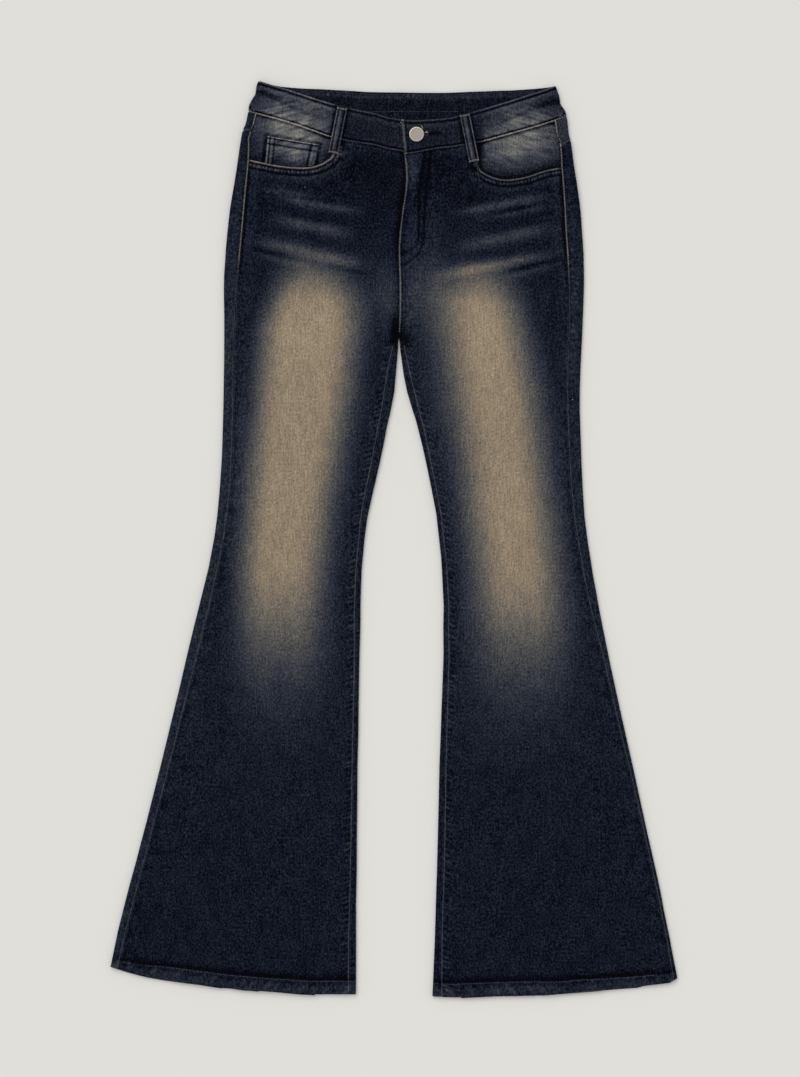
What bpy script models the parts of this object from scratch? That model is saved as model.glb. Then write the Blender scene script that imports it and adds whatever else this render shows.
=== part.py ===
"""Dark blue flared jeans, laid out flat on their back with the waist button fastened.

The part lies on the plane z = 0 with its front facing up. +Y runs from the hems to the waist, +X to the
wearer's left, and the origin is under the middle of the part's box. All sizes are metres. In names and
tables "right" and "left" are the wearer's, so the right leg is on the side of -X.
"""

import math
from collections import namedtuple

import bmesh
import bpy

# ---- cloth and levels -------------------------------------------------------------------------------
CLOTH = 0.0010              # wall of one layer of denim
GAP = 0.0003                # space between two pieces that touch
BAND_WALL = 0.0018          # the waistband is two layers and its turned edges
HEM_WALL = 0.0020           # the hem is turned up, so it is double
LOOP_WALL = 0.0012          # belt loop, folded in three
LAYER = CLOTH + GAP

FRONT_UNDER = 2 * LAYER     # underside of the front panels, over the back and what lifts it
RAISED_UNDER = 3 * LAYER    # underside of a front panel that lies on a pocket facing or on the zip
BAND_UNDER = 0.0034         # underside of the waistband's front half
BAND_TOP = BAND_UNDER + BAND_WALL
LAP_UNDER = BAND_TOP + GAP  # underside of the waistband's left end, which lies over its right end

LEG_FOLD_HEIGHT = 0.0042    # height of the legs' rolled edges
HIP_FOLD_HEIGHT = 0.0052    # the same beside the pockets and at the waistband
HEM_FOLD_HEIGHT = 0.0048
EDGE_RISE = 0.0007          # how much higher a front panel is at its seams than in the middle
EDGE_FADE = 0.015

# ---- the outline, seen from above -------------------------------------------------------------------
Edges = namedtuple("Edges", "y right left")

SIDE_EDGES = [              # the garment's outer edge on each side, from the waist to the hems
    Edges(0.5240, -0.1716, 0.1708),
    Edges(0.5170, -0.1738, 0.1728),
    Edges(0.5110, -0.1742, 0.1752),
    Edges(0.5050, -0.1772, 0.1756),
    Edges(0.4980, -0.1812, 0.1808),
    Edges(0.4900, -0.1824, 0.1836),
    Edges(0.4700, -0.1867, 0.1862),
    Edges(0.4640, -0.1900, 0.1876),
    Edges(0.4570, -0.1908, 0.1903),
    Edges(0.4400, -0.1927, 0.1928),
    Edges(0.4000, -0.1992, 0.2019),
    Edges(0.3600, -0.2038, 0.2067),
    Edges(0.3200, -0.2063, 0.2098),
    Edges(0.2800, -0.2075, 0.2106),
    Edges(0.2400, -0.2067, 0.2101),
    Edges(0.1600, -0.2061, 0.2074),
    Edges(0.1200, -0.2065, 0.2089),
    Edges(0.0800, -0.2072, 0.2108),
    Edges(0.0400, -0.2098, 0.2136),
    Edges(0.0000, -0.2138, 0.2186),
    Edges(-0.0400, -0.2206, 0.2254),
    Edges(-0.0800, -0.2299, 0.2337),
    Edges(-0.1300, -0.2416, 0.2451),
    Edges(-0.2000, -0.2574, 0.2606),
    Edges(-0.2800, -0.2751, 0.2792),
    Edges(-0.3600, -0.2940, 0.2984),
    Edges(-0.4400, -0.3130, 0.3176),
    Edges(-0.5000, -0.3250, 0.3288),
]

CROTCH_Y = 0.2335
CENTRE_BACK_TOP_Y = 0.420   # the centre-back seam is straight above this, then leans to the crotch
CROTCH_X = -0.0049
INNER_EDGES = [             # each leg's inner edge, from the crotch to the hem
    Edges(CROTCH_Y, CROTCH_X, CROTCH_X),
    Edges(0.2000, -0.0060, -0.0012),
    Edges(0.1670, -0.0072, 0.0042),
    Edges(0.1490, -0.0100, 0.0092),
    Edges(0.1310, -0.0134, 0.0148),
    Edges(0.1140, -0.0156, 0.0198),
    Edges(0.0970, -0.0182, 0.0244),
    Edges(0.0800, -0.0213, 0.0294),
    Edges(0.0600, -0.0252, 0.0344),
    Edges(0.0400, -0.0291, 0.0386),
    Edges(0.0200, -0.0323, 0.0413),
    Edges(0.0000, -0.0350, 0.0433),
    Edges(-0.0300, -0.0382, 0.0463),
    Edges(-0.0700, -0.0400, 0.0504),
    Edges(-0.1300, -0.0411, 0.0517),
    Edges(-0.2000, -0.0418, 0.0503),
    Edges(-0.3000, -0.0414, 0.0489),
    Edges(-0.4000, -0.0413, 0.0474),
    Edges(-0.5240, -0.0405, 0.0460),
]

# How far the back panel laps over the rolled edge on to the front, up to the seam.
Laps = namedtuple("Laps", "y outer_right inner_right inner_left outer_left")
LAPS = [
    Laps(0.4900, 0.0100, 0.0000, 0.0000, 0.0148),
    Laps(0.4650, 0.0092, 0.0000, 0.0000, 0.0142),
    Laps(0.4400, 0.0116, 0.0000, 0.0000, 0.0156),
    Laps(0.4000, 0.0145, 0.0000, 0.0000, 0.0205),
    Laps(0.3400, 0.0161, 0.0000, 0.0000, 0.0220),
    Laps(0.2800, 0.0145, 0.0000, 0.0000, 0.0208),
    Laps(CROTCH_Y, 0.0115, 0.0000, 0.0000, 0.0192),
    Laps(0.2260, 0.0111, 0.0045, 0.0036, 0.0189),
    Laps(0.2100, 0.0103, 0.0090, 0.0060, 0.0184),
    Laps(0.1900, 0.0100, 0.0130, 0.0080, 0.0175),
    Laps(0.1600, 0.0098, 0.0160, 0.0100, 0.0165),
    Laps(0.1100, 0.0104, 0.0158, 0.0090, 0.0160),
    Laps(0.0600, 0.0112, 0.0152, 0.0066, 0.0148),
    Laps(0.0000, 0.0116, 0.0123, 0.0062, 0.0116),
    Laps(-0.0650, 0.0114, 0.0112, 0.0076, 0.0102),
    Laps(-0.1850, 0.0078, 0.0070, 0.0077, 0.0080),
    Laps(-0.3500, 0.0070, 0.0072, 0.0095, 0.0070),
    Laps(-0.5240, 0.0070, 0.0076, 0.0112, 0.0070),
]

# The front closing: the left front lies over the right one, and its edge wanders a little.
FlyEdge = namedtuple("FlyEdge", "y x")
FLY_EDGE = [
    FlyEdge(0.4820, -0.0067),
    FlyEdge(0.4450, -0.0021),
    FlyEdge(0.4100, 0.0015),
    FlyEdge(0.3700, -0.0018),
    FlyEdge(0.3310, -0.0054),
    FlyEdge(0.2760, -0.0040),
    FlyEdge(CROTCH_Y, -0.0049),
]
FLY_LAP = 0.006             # how far the left front reaches over the right one
FLY_LAP_END = 0.250         # the lap runs out here, just above the crotch
FLY_BOTTOM = 0.325          # lower end of the shield behind the zip
FLY_WIDTH = 0.036           # width of the left front that the fly raises
SEAM_LAP_WIDTH = 0.010      # the same along the lapped seam below the fly
FLY_SLOPE = 0.014           # the raised part runs out over this width
FLY_END_BLEND = 0.015       # length over which the fly gives way to the lapped seam
SHIELD_SIDES = (-0.020, 0.021)
SHIELD_CORNER = 0.014       # radius of the shield's rounded lower corner
ZIP_FAR_X = 0.025
ZIP_STEPS = 6

# The waistband's edges, by the distance from the middle as a share of the half width.
Waist = namedtuple("Waist", "share front_top front_seam back_top back_seam")
WAIST = [
    Waist(-1.0, 0.5240, 0.4903, 0.5240, 0.4903),
    Waist(-0.8, 0.5152, 0.4818, 0.5180, 0.4840),
    Waist(-0.6, 0.5045, 0.4706, 0.5165, 0.4810),
    Waist(-0.4, 0.4958, 0.4592, 0.5152, 0.4795),
    Waist(-0.2, 0.4891, 0.4542, 0.5142, 0.4785),
    Waist(0.0, 0.4820, 0.4470, 0.5141, 0.4780),
    Waist(0.2, 0.4838, 0.4514, 0.5146, 0.4785),
    Waist(0.4, 0.4913, 0.4574, 0.5161, 0.4795),
    Waist(0.6, 0.5015, 0.4676, 0.5179, 0.4810),
    Waist(0.8, 0.5128, 0.4785, 0.5202, 0.4840),
    Waist(1.0, 0.5240, 0.4898, 0.5240, 0.4898),
]
WAIST_SEAM_Y = 0.490        # waistband seam where it turns over the side edges
BAND_ROWS = (0.0, 0.2, 0.4, 0.55, 0.7, 0.85, 1.0)       # shares of the band's depth, seam to top
BAND_CREASE_ROW = 0.55      # the folded sides are pressed in along this row
BAND_CREASE_DEPTH = 0.0006
UNDERLAP_X = 0.030          # end of the band's right half, under its left half
BAND_CLIMB_START = 0.034    # the left half climbs over the right one from here towards the middle
BAND_CLIMB_LENGTH = 0.018
BAND_CREASE_START = 0.095   # the sides' crease begins this far from the middle
BAND_CREASE_BLEND = 0.040
BAND_FRONT_X = (0.010, 0.022, 0.036, 0.052, 0.068, 0.086, 0.104, 0.122, 0.140, 0.156)
BAND_BACK_STEPS = 28

# ---- back yoke, pockets, loops, button --------------------------------------------------------------
YOKE_FOLD_Y = {-1: 0.4680, 1: 0.4620}       # yoke seam where it turns over the side edge
YOKE_FRONT_Y = {-1: 0.4660, 1: 0.4525}      # and where it meets the side seam, on the front
YOKE_CENTRE_Y = 0.4200

SCOOP = {                                   # edge of the front pocket opening, side seam to band
    -1: [(-0.1808, 0.4339), (-0.1467, 0.4276), (-0.1185, 0.4258), (-0.1025, 0.4284),
         (-0.0911, 0.4343), (-0.0843, 0.4413), (-0.0812, 0.4610)],
    1: [(0.1781, 0.4308), (0.1598, 0.4270), (0.1392, 0.4198), (0.1186, 0.4160),
        (0.1048, 0.4169), (0.0909, 0.4224), (0.0826, 0.4314), (0.0822, 0.4585)],
}
SCOOP_STEPS = 9
POCKET_TUCK = 0.008         # how far the pocket facing reaches under the front panel
POCKET_RAISE_REACH = 0.018  # the front panel is raised this far from the opening
POCKET_RAISE_SLOPE = 0.030  # and runs down over this length
FACING_STEPS = 12
FACING_TOP_STEPS = 6
FACING_SEAM_ROWS = (0.472, 0.458, 0.446)
FACING_CORNER_Y = 0.487

COIN_POCKET_CORNERS = [(-0.1598, 0.4612), (-0.1006, 0.4525), (-0.1052, 0.4285), (-0.1625, 0.4308)]

BACK_POCKET = namedtuple("BackPocket", "x top side_height point top_width low_width")(
    0.1040, 0.4180, 0.1050, 0.0200, 0.1160, 0.0980)

Loop = namedtuple("Loop", "name top bottom")
FRONT_LOOPS = [
    Loop("belt_loop_front_right", (-0.0743, 0.4952), (-0.0832, 0.4454)),
    Loop("belt_loop_front_left", (0.0662, 0.4898), (0.0774, 0.4386)),
]
BACK_LOOPS = [
    Loop("belt_loop_back_right", (-0.0821, 0.5145), (-0.0840, 0.4720)),
    Loop("belt_loop_back_middle", (0.0020, 0.5135), (0.0010, 0.4720)),
    Loop("belt_loop_back_left", (0.0860, 0.5155), (0.0870, 0.4720)),
]
LOOP_WIDTH = 0.0118
LOOP_STEPS = 12
LOOP_BOW = 0.0006           # a front loop stands off the band by this much in its middle
LOOP_DROP_START = 0.013     # below the waistband seam, where a front loop comes down on the panel
LOOP_DROP_LENGTH = 0.006

BUTTON_X = 0.0114
BUTTON_Y = 0.4671
BUTTON_RADIUS = 0.0085
BUTTON_SHANK_RADIUS = 0.0034
BUTTON_SHANK = 0.0010
BUTTON_HEAD = 0.0024
BUTTON_SIDES = 32

# ---- hems -------------------------------------------------------------------------------------------
HEM_LEVEL = -0.5238         # lowest line of both hems
HEM_DEPTH = 0.0130
HEM_STEP = 0.0015           # the wall doubles over this length
HEM_RAISE = 0.0008          # how much higher the front is on its doubled hem
HEM_CURVE_START = 0.100     # outside this distance from the middle the hem sweeps up
HEM_CURVE_SPAN = 0.220
HEM_RISE = {-1: 0.0245, 1: 0.0195}
HEM_POWER = {-1: 2.3, 1: 1.5}

# ---- rows of the panels -----------------------------------------------------------------------------
BACK_HIP_ROWS = (0.395, 0.380, 0.365, 0.350, 0.335, 0.320, 0.305, 0.290, 0.275, 0.262, 0.248)
FRONT_SEAM_COLUMNS = (0.062, 0.048, 0.036, 0.024, 0.012, 0.0)    # from the fly, along the waistband
FRONT_HIP_ROWS = (0.400, 0.380, 0.355, 0.335, 0.315, 0.290, 0.262, 0.250)
CROTCH_ROWS = (CROTCH_Y, 0.2305, 0.2275, 0.2250, 0.2220, 0.2180, 0.2120, 0.2040)
LEG_ROWS = (0.190, 0.170, 0.149, 0.131, 0.114, 0.090, 0.060, 0.030, 0.000, -0.035, -0.075, -0.130,
            -0.190, -0.260, -0.330, -0.400, -0.455)
HEM_ROWS = (HEM_DEPTH + HEM_STEP, HEM_DEPTH, HEM_DEPTH / 2, 0.0)
YOKE_ROWS = 5
BLEND_ROWS = 3              # rows between a panel's shaped top edge and its first straight row
BACK_COLUMNS = 14           # columns of a back panel between its two rolled edges
FOLD_STEPS = 3              # flats of a rolled edge
LAP_STEPS = 2               # flats of the lapped strip beyond it

# What lies under the back and lifts it: a plateau wider than the piece by LIFT_MARGIN, then a slope.
LIFT_MARGIN = 0.0135
LIFT_SLOPE = 0.0100
CURL_LENGTH = 0.0150        # length of leg over which its inner edge rolls up, below the crotch


def lerp(a, b, t):
    """Return the value a share t of the way from a to b."""
    return a + (b - a) * t


def smooth(t):
    """Ease from 0 to 1 as t goes from 0 to 1."""
    t = min(max(t, 0.0), 1.0)
    return t * t * (3.0 - 2.0 * t)


def curve_value(rows, column, at, key="y"):
    """Read a column of a table along a smooth curve that never overshoots its rows."""
    points = sorted((getattr(row, key), getattr(row, column)) for row in rows)
    at = min(max(at, points[0][0]), points[-1][0])
    index = max(i for i in range(len(points) - 1) if points[i][0] <= at)
    slopes = [(b[1] - a[1]) / (b[0] - a[0]) for a, b in zip(points, points[1:])]

    def tangent(i):
        """Slope at row i: the harmonic mean of its neighbours, or 0 at a turning point."""
        if i == 0 or i == len(slopes):
            return slopes[min(i, len(slopes) - 1)]
        before, after = slopes[i - 1], slopes[i]
        return 2 * before * after / (before + after) if before * after > 0 else 0.0

    (x0, y0), (x1, y1) = points[index], points[index + 1]
    span = x1 - x0
    t = (at - x0) / span
    start = y0 + t * span * tangent(index)
    end = y1 - (1 - t) * span * tangent(index + 1)
    ease = smooth(t)
    return lerp(start, end, ease)


def side_edge(side, y):
    """X of the garment's outer edge; side is -1 for right and 1 for left."""
    return curve_value(SIDE_EDGES, "right" if side < 0 else "left", y)


def inner_edge(side, y):
    """X of a leg's inner edge, or of the centre-back seam above the crotch."""
    if y >= CROTCH_Y:
        lean = (CENTRE_BACK_TOP_Y - y) / (CENTRE_BACK_TOP_Y - CROTCH_Y)
        return CROTCH_X * max(lean, 0.0) + side * GAP / 2
    return curve_value(INNER_EDGES, "right" if side < 0 else "left", y) + side * GAP / 2


def outer_lap(side, y):
    """Width of the back panel's strip that shows beside the side seam."""
    return curve_value(LAPS, "outer_right" if side < 0 else "outer_left", y)


def inner_lap(side, y):
    """Width of the back panel's strip that shows beside the inner leg seam."""
    return curve_value(LAPS, "inner_right" if side < 0 else "inner_left", y)


def fly_edge(y):
    """X of the edge of the left front."""
    return curve_value(FLY_EDGE, "x", y)


def waist_line(line, share):
    """Y of one of the waistband's four edges at a share of the half width."""
    return curve_value(WAIST, line, share, key="share")


def band_seam_front(x):
    """Y of the front waistband seam at x."""
    return waist_line("front_seam", x / abs(side_edge(1 if x > 0 else -1, WAIST_SEAM_Y)))


def band_seam_back(x):
    """Y of the back waistband seam at x."""
    return waist_line("back_seam", x / abs(side_edge(1 if x > 0 else -1, WAIST_SEAM_Y)))


def hem_line(side, x):
    """Y of the hem's lower edge at x."""
    out = max(abs(x) - HEM_CURVE_START, 0.0) / HEM_CURVE_SPAN
    return HEM_LEVEL + HEM_RISE[side] * out ** HEM_POWER[side]


def fold_height(y, hem_share):
    """Height of the rolled side and inner edges."""
    height = lerp(LEG_FOLD_HEIGHT, HIP_FOLD_HEIGHT, smooth((y - 0.36) / 0.06))
    return lerp(height, HEM_FOLD_HEIGHT, hem_share)


def yoke_line(side, x, on_front):
    """Y of the yoke seam, on the strip that shows in front or across the back."""
    edge = abs(side_edge(side, YOKE_FOLD_Y[side]))
    if on_front:
        share = (edge - abs(x)) / outer_lap(side, YOKE_FRONT_Y[side])
        return lerp(YOKE_FOLD_Y[side], YOKE_FRONT_Y[side], min(max(share, 0.0), 1.0))
    return lerp(YOKE_CENTRE_Y, YOKE_FOLD_Y[side], smooth(abs(x) / edge * 0.5) * 2.0)


def lift_boxes():
    """Boxes in plan of the pieces under the back: two patch pockets and three belt loops."""
    pocket = BACK_POCKET
    half = pocket.top_width / 2
    low = pocket.top - pocket.side_height - pocket.point
    boxes = [(side * pocket.x - half, side * pocket.x + half, low, pocket.top) for side in (-1, 1)]
    for loop in BACK_LOOPS:
        middle = (loop.top[0] + loop.bottom[0]) / 2
        boxes.append((middle - LOOP_WIDTH / 2, middle + LOOP_WIDTH / 2, loop.bottom[1], loop.top[1]))
    return boxes


LIFT_BOXES = lift_boxes()


def lift(x, y):
    """Height by which the back is held off the floor by what is sewn on its outside."""
    best = 0.0
    for left, right, low, high in LIFT_BOXES:
        away_x = max(left - x, x - right, 0.0)
        away_y = max(low - y, y - high, 0.0)
        away = math.hypot(away_x, away_y) - LIFT_MARGIN
        best = max(best, 1.0 - smooth(away / LIFT_SLOPE))
    return LAYER * best


# ---- mesh helpers -----------------------------------------------------------------------------------
def clear_scene():
    """Remove every object of the file that the script starts in."""
    for item in list(bpy.data.objects):
        bpy.data.objects.remove(item, do_unlink=True)


def make_material(name, color, roughness, metallic=0.0):
    """Make a Principled material."""
    material = bpy.data.materials.new(name)
    material.use_nodes = True
    shader = material.node_tree.nodes["Principled BSDF"]
    shader.inputs["Base Color"].default_value = (*color, 1.0)
    shader.inputs["Roughness"].default_value = roughness
    shader.inputs["Metallic"].default_value = metallic
    return material


def middle_of_box():
    """Middle of the outline, which becomes the origin."""
    hem_corners = [side_edge(side, -0.5) for side in (-1, 1)]
    return sum(hem_corners) / 2, (SIDE_EDGES[0].y + HEM_LEVEL) / 2


BOX_MIDDLE = middle_of_box()


def add_mesh(name, points, faces, material):
    """Make one named, closed object with its faces pointing out."""
    middle_x, middle_y = BOX_MIDDLE
    moved = [(x - middle_x, y - middle_y, z) for x, y, z in points]
    mesh = bpy.data.meshes.new(name)
    mesh.from_pydata(moved, [], faces)
    work = bmesh.new()
    work.from_mesh(mesh)
    bmesh.ops.recalc_face_normals(work, faces=work.faces)
    work.to_mesh(mesh)
    work.free()
    mesh.materials.append(material)
    mesh.shade_smooth()
    mesh.set_sharp_from_angle(angle=math.radians(40))
    item = bpy.data.objects.new(name, mesh)
    bpy.context.collection.objects.link(item)
    return item


def sheet(name, outer, inner, material):
    """Join two grids of points, the cloth's two faces, into one closed wall."""
    rows = len(outer)
    columns = len(outer[0])
    points = [point for grid in (outer, inner) for row in grid for point in row]
    shift = rows * columns

    def at(row, column):
        """Index of a point of the outer grid."""
        return row * columns + column

    faces = []
    for row in range(rows - 1):
        for column in range(columns - 1):
            corners = (at(row, column), at(row, column + 1), at(row + 1, column + 1), at(row + 1, column))
            faces.append(corners)
            faces.append(tuple(shift + corner for corner in reversed(corners)))
    rim = [at(0, column) for column in range(columns)]
    rim += [at(row, columns - 1) for row in range(1, rows)]
    rim += [at(rows - 1, column) for column in range(columns - 2, -1, -1)]
    rim += [at(row, 0) for row in range(rows - 2, 0, -1)]
    for start, end in zip(rim, rim[1:] + rim[:1]):
        faces.append((end, start, shift + start, shift + end))
    return add_mesh(name, points, faces, material)


def plate(name, outline, under, wall, material):
    """Make a flat piece of cloth from its outline."""
    count = len(outline)
    points = [(x, y, under) for x, y in outline] + [(x, y, under + wall) for x, y in outline]
    faces = [tuple(reversed(range(count))), tuple(range(count, 2 * count))]
    for start in range(count):
        end = (start + 1) % count
        faces.append((start, end, count + end, count + start))
    return add_mesh(name, points, faces, material)


def along(path, share):
    """Point on a smooth curve through a path, at a share of its points."""
    place = share * (len(path) - 1)
    index = min(int(place), len(path) - 2)
    t = place - index
    before = path[max(index - 1, 0)]
    start, end = path[index], path[index + 1]
    after = path[min(index + 2, len(path) - 1)]
    point = []
    for a, b, c, d in zip(before, start, end, after):
        bend = 2 * b + (c - a) * t + (2 * a - 5 * b + 4 * c - d) * t ** 2 + (3 * b - a - 3 * c + d) * t ** 3
        point.append(0.5 * bend)
    return tuple(point)


# ---- the back: leg panels and yokes -----------------------------------------------------------------
def rolled_edge(height, lap, turn):
    """Offsets of an edge that rolls up by the angle turn: outward x, z, and the angle there.

    The roll keeps its length while it opens and stays under the given height, and no turn lies flat.
    """
    roll_length = math.pi * height / 2
    strip = max(lap - height / 2, CLOTH)
    angles = [turn * step / FOLD_STEPS for step in range(FOLD_STEPS + 1)]
    if turn < 0.01:
        spots = [(roll_length * step / FOLD_STEPS, 0.0, 0.0) for step in range(FOLD_STEPS + 1)]
    else:
        radius = roll_length / turn
        spots = [(radius * math.sin(a), radius * (1 - math.cos(a)), a) for a in angles]
    end_x, end_z, end_angle = spots[-1]
    for step in range(1, LAP_STEPS + 1):
        reach = strip * step / LAP_STEPS
        spots.append((end_x + reach * math.cos(end_angle), end_z + reach * math.sin(end_angle), end_angle))
    furthest = max(x for x, _, _ in spots)
    squeeze = min(height / max(max(z for _, z, _ in spots), CLOTH), 1.0)
    return [(x - furthest, z * squeeze, angle) for x, z, angle in spots]


def back_row(side, row_y, hem_share):
    """One row of a back panel from the side seam, round the side edge, to the inner seam.

    row_y(x, on_front) gives the row's Y. Each entry is a pair of points, outer face and inner face.
    """
    wall = lerp(CLOTH, HEM_WALL, hem_share)
    fold_y = row_y(side_edge(side, row_y(side * 0.2, False)), False)
    edge = side_edge(side, fold_y)
    height = fold_height(fold_y, hem_share)
    pairs = []
    roll = rolled_edge(height, outer_lap(side, fold_y) - GAP / 2, math.pi)
    for index, (out, z, angle) in reversed(list(enumerate(roll))):
        x = edge + side * out
        y = row_y(x, index > FOLD_STEPS)
        pairs.append(((x, y, z), (x - side * wall * math.sin(angle), y, z + wall * math.cos(angle))))
    flat_start = edge + side * roll[0][0]

    inner_y = row_y(inner_edge(side, fold_y), False)
    curl = smooth((CROTCH_Y - 0.001 - inner_y) / CURL_LENGTH)
    inner_height = fold_height(inner_y, hem_share) if curl > 0 else LEG_FOLD_HEIGHT
    roll = rolled_edge(inner_height, inner_lap(side, inner_y) - GAP / 2, math.pi * curl)
    flat_end = inner_edge(side, inner_y) - side * roll[0][0]
    for column in range(1, BACK_COLUMNS):
        x = lerp(flat_start, flat_end, column / BACK_COLUMNS)
        y = row_y(x, False)
        z = lift(x, y)
        pairs.append(((x, y, z), (x, y, z + wall)))
    for out, z, angle in roll:
        x = inner_edge(side, inner_y) - side * out
        y = row_y(x, False)
        raised = lift(x, y)
        outer = (x, y, z + raised)
        inner = (x + side * wall * math.sin(angle), y, z + raised + wall * math.cos(angle))
        pairs.append((outer, inner))
    return pairs


def back_rows(side):
    """All rows of a back leg panel, from the yoke seam to the hem."""
    rows = []
    for step in range(BLEND_ROWS):
        share = step / BLEND_ROWS

        def blended(x, on_front, share=share):
            return lerp(yoke_line(side, x, on_front) - GAP / 2, BACK_HIP_ROWS[0], share)

        rows.append(back_row(side, blended, 0.0))
    for level in BACK_HIP_ROWS + CROTCH_ROWS + LEG_ROWS:
        rows.append(back_row(side, lambda x, on_front, level=level: level, 0.0))
    for above in HEM_ROWS:
        hem_share = 0.0 if above > HEM_DEPTH else 1.0
        rows.append(back_row(side, lambda x, on_front, above=above: hem_line(side, x) + above, hem_share))
    return rows


def make_back_leg(side, name, material):
    """Back leg panel: flat underneath, with both long edges rolled on to the front."""
    rows = back_rows(side)
    return sheet(name, [[pair[0] for pair in row] for row in rows],
                 [[pair[1] for pair in row] for row in rows], material)


def make_yoke(side, name, material):
    """Back yoke: the shaped strip between the waistband and the back leg panel."""
    rows = []
    for step in range(YOKE_ROWS):
        share = step / (YOKE_ROWS - 1)

        def blended(x, on_front, share=share):
            top = (band_seam_front(x) if on_front else band_seam_back(x)) - GAP
            return lerp(top, yoke_line(side, x, on_front) + GAP / 2, share)

        rows.append(back_row(side, blended, 0.0))
    return sheet(name, [[pair[0] for pair in row] for row in rows],
                 [[pair[1] for pair in row] for row in rows], material)


# ---- the front leg panels ---------------------------------------------------------------------------
def front_outer(side, y):
    """X of a front panel's side seam."""
    return side_edge(side, y) - side * (outer_lap(side, y) + GAP / 2)


def front_inner(side, y):
    """X of a front panel's edge at the fly, or at the inner leg seam below the crotch."""
    if y < CROTCH_Y:
        return inner_edge(side, y) + side * (inner_lap(side, y) + GAP / 2)
    if side > 0:
        return fly_edge(y) + GAP / 2
    return fly_edge(y) - GAP / 2 + FLY_LAP * smooth((y - FLY_LAP_END) / 0.012)


def scoop_points(side, steps):
    """Points along the pocket opening, from the side seam to the waistband seam."""
    points = [along(SCOOP[side], step / steps) for step in range(steps + 1)]
    seam_x = points[-1][0]
    points[0] = (front_outer(side, points[0][1]), points[0][1])
    points[-1] = (seam_x, band_seam_front(seam_x) - GAP)
    return points


SCOOP_POINTS = {side: scoop_points(side, 24) for side in (-1, 1)}


def pocket_raise(side, x, y):
    """Share by which a front panel is raised by the pocket facing under its edge."""
    away = min(math.hypot(x - px, y - py) for px, py in SCOOP_POINTS[side])
    return 1.0 - smooth((away - POCKET_RAISE_REACH) / POCKET_RAISE_SLOPE)


def fly_raise(x, y):
    """Share by which the left front is raised at the fly, over the right front and the zip."""
    in_fly = smooth((y - FLY_BOTTOM) / FLY_END_BLEND + 0.67)
    width = lerp(SEAM_LAP_WIDTH, FLY_WIDTH, in_fly)
    across = 1.0 - smooth((x - fly_edge(y) - width) / FLY_SLOPE)
    return across * smooth((y - CROTCH_Y) / (FLY_LAP_END - CROTCH_Y))


def front_top(side, x, y, hem_share):
    """Height of a front panel's upper face."""
    top = FRONT_UNDER + CLOTH
    seam = math.exp(-abs(x - front_outer(side, y)) / EDGE_FADE)
    if y < CROTCH_Y:
        inner = math.exp(-abs(x - front_inner(side, y)) / EDGE_FADE)
        seam += inner * smooth((CROTCH_Y - y) / 0.030)
    top += EDGE_RISE * min(seam, 1.0)
    raised = pocket_raise(side, x, y)
    if side > 0:
        raised = max(raised, fly_raise(x, y))
    top = max(top, FRONT_UNDER + CLOTH + LAYER * raised)
    return top + HEM_RAISE * hem_share


def front_top_edge(side):
    """Upper edge of a front panel in plan: the pocket opening, then the waistband seam to the fly."""
    points = scoop_points(side, SCOOP_STEPS)
    fly_y = band_seam_front(0.0) - GAP
    for distance in FRONT_SEAM_COLUMNS:
        x = front_inner(side, fly_y) + side * distance
        points.append((x, band_seam_front(x) - GAP))
    return points


def make_front_leg(side, name, material):
    """Front leg panel, from the pocket opening and the waistband seam to the hem."""
    edge = front_top_edge(side)
    first, last = edge[0][0], edge[-1][0]
    shares = [(x - first) / (last - first) for x, _ in edge]
    outer, inner = [], []

    def add_row(points, hem_share):
        """Add a row of both faces from points in plan."""
        wall = lerp(CLOTH, HEM_WALL, hem_share)
        tops = [front_top(side, x, y, hem_share) for x, y in points]
        outer.append([(x, y, z) for (x, y), z in zip(points, tops)])
        inner.append([(x, y, z - wall) for (x, y), z in zip(points, tops)])

    for step in range(BLEND_ROWS):
        t = step / BLEND_ROWS
        row = []
        for (top_x, top_y), share in zip(edge, shares):
            y = lerp(top_y, FRONT_HIP_ROWS[0], t)
            x = lerp(front_outer(side, y), front_inner(side, y), share)
            row.append((lerp(top_x, x, smooth(t)), y))
        row[0] = (front_outer(side, row[0][1]), row[0][1])
        row[-1] = (front_inner(side, row[-1][1]), row[-1][1])
        add_row(row, 0.0)
    for level in FRONT_HIP_ROWS + CROTCH_ROWS + LEG_ROWS:
        add_row([(lerp(front_outer(side, level), front_inner(side, level), s), level) for s in shares], 0.0)
    for above in HEM_ROWS:
        row = []
        for share in shares:
            y = HEM_LEVEL
            for _ in range(4):
                x = lerp(front_outer(side, y), front_inner(side, y), share)
                y = hem_line(side, x) + above
            row.append((x, y))
        add_row(row, 0.0 if above > HEM_DEPTH else 1.0)
    return sheet(name, outer, inner, material)


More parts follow.
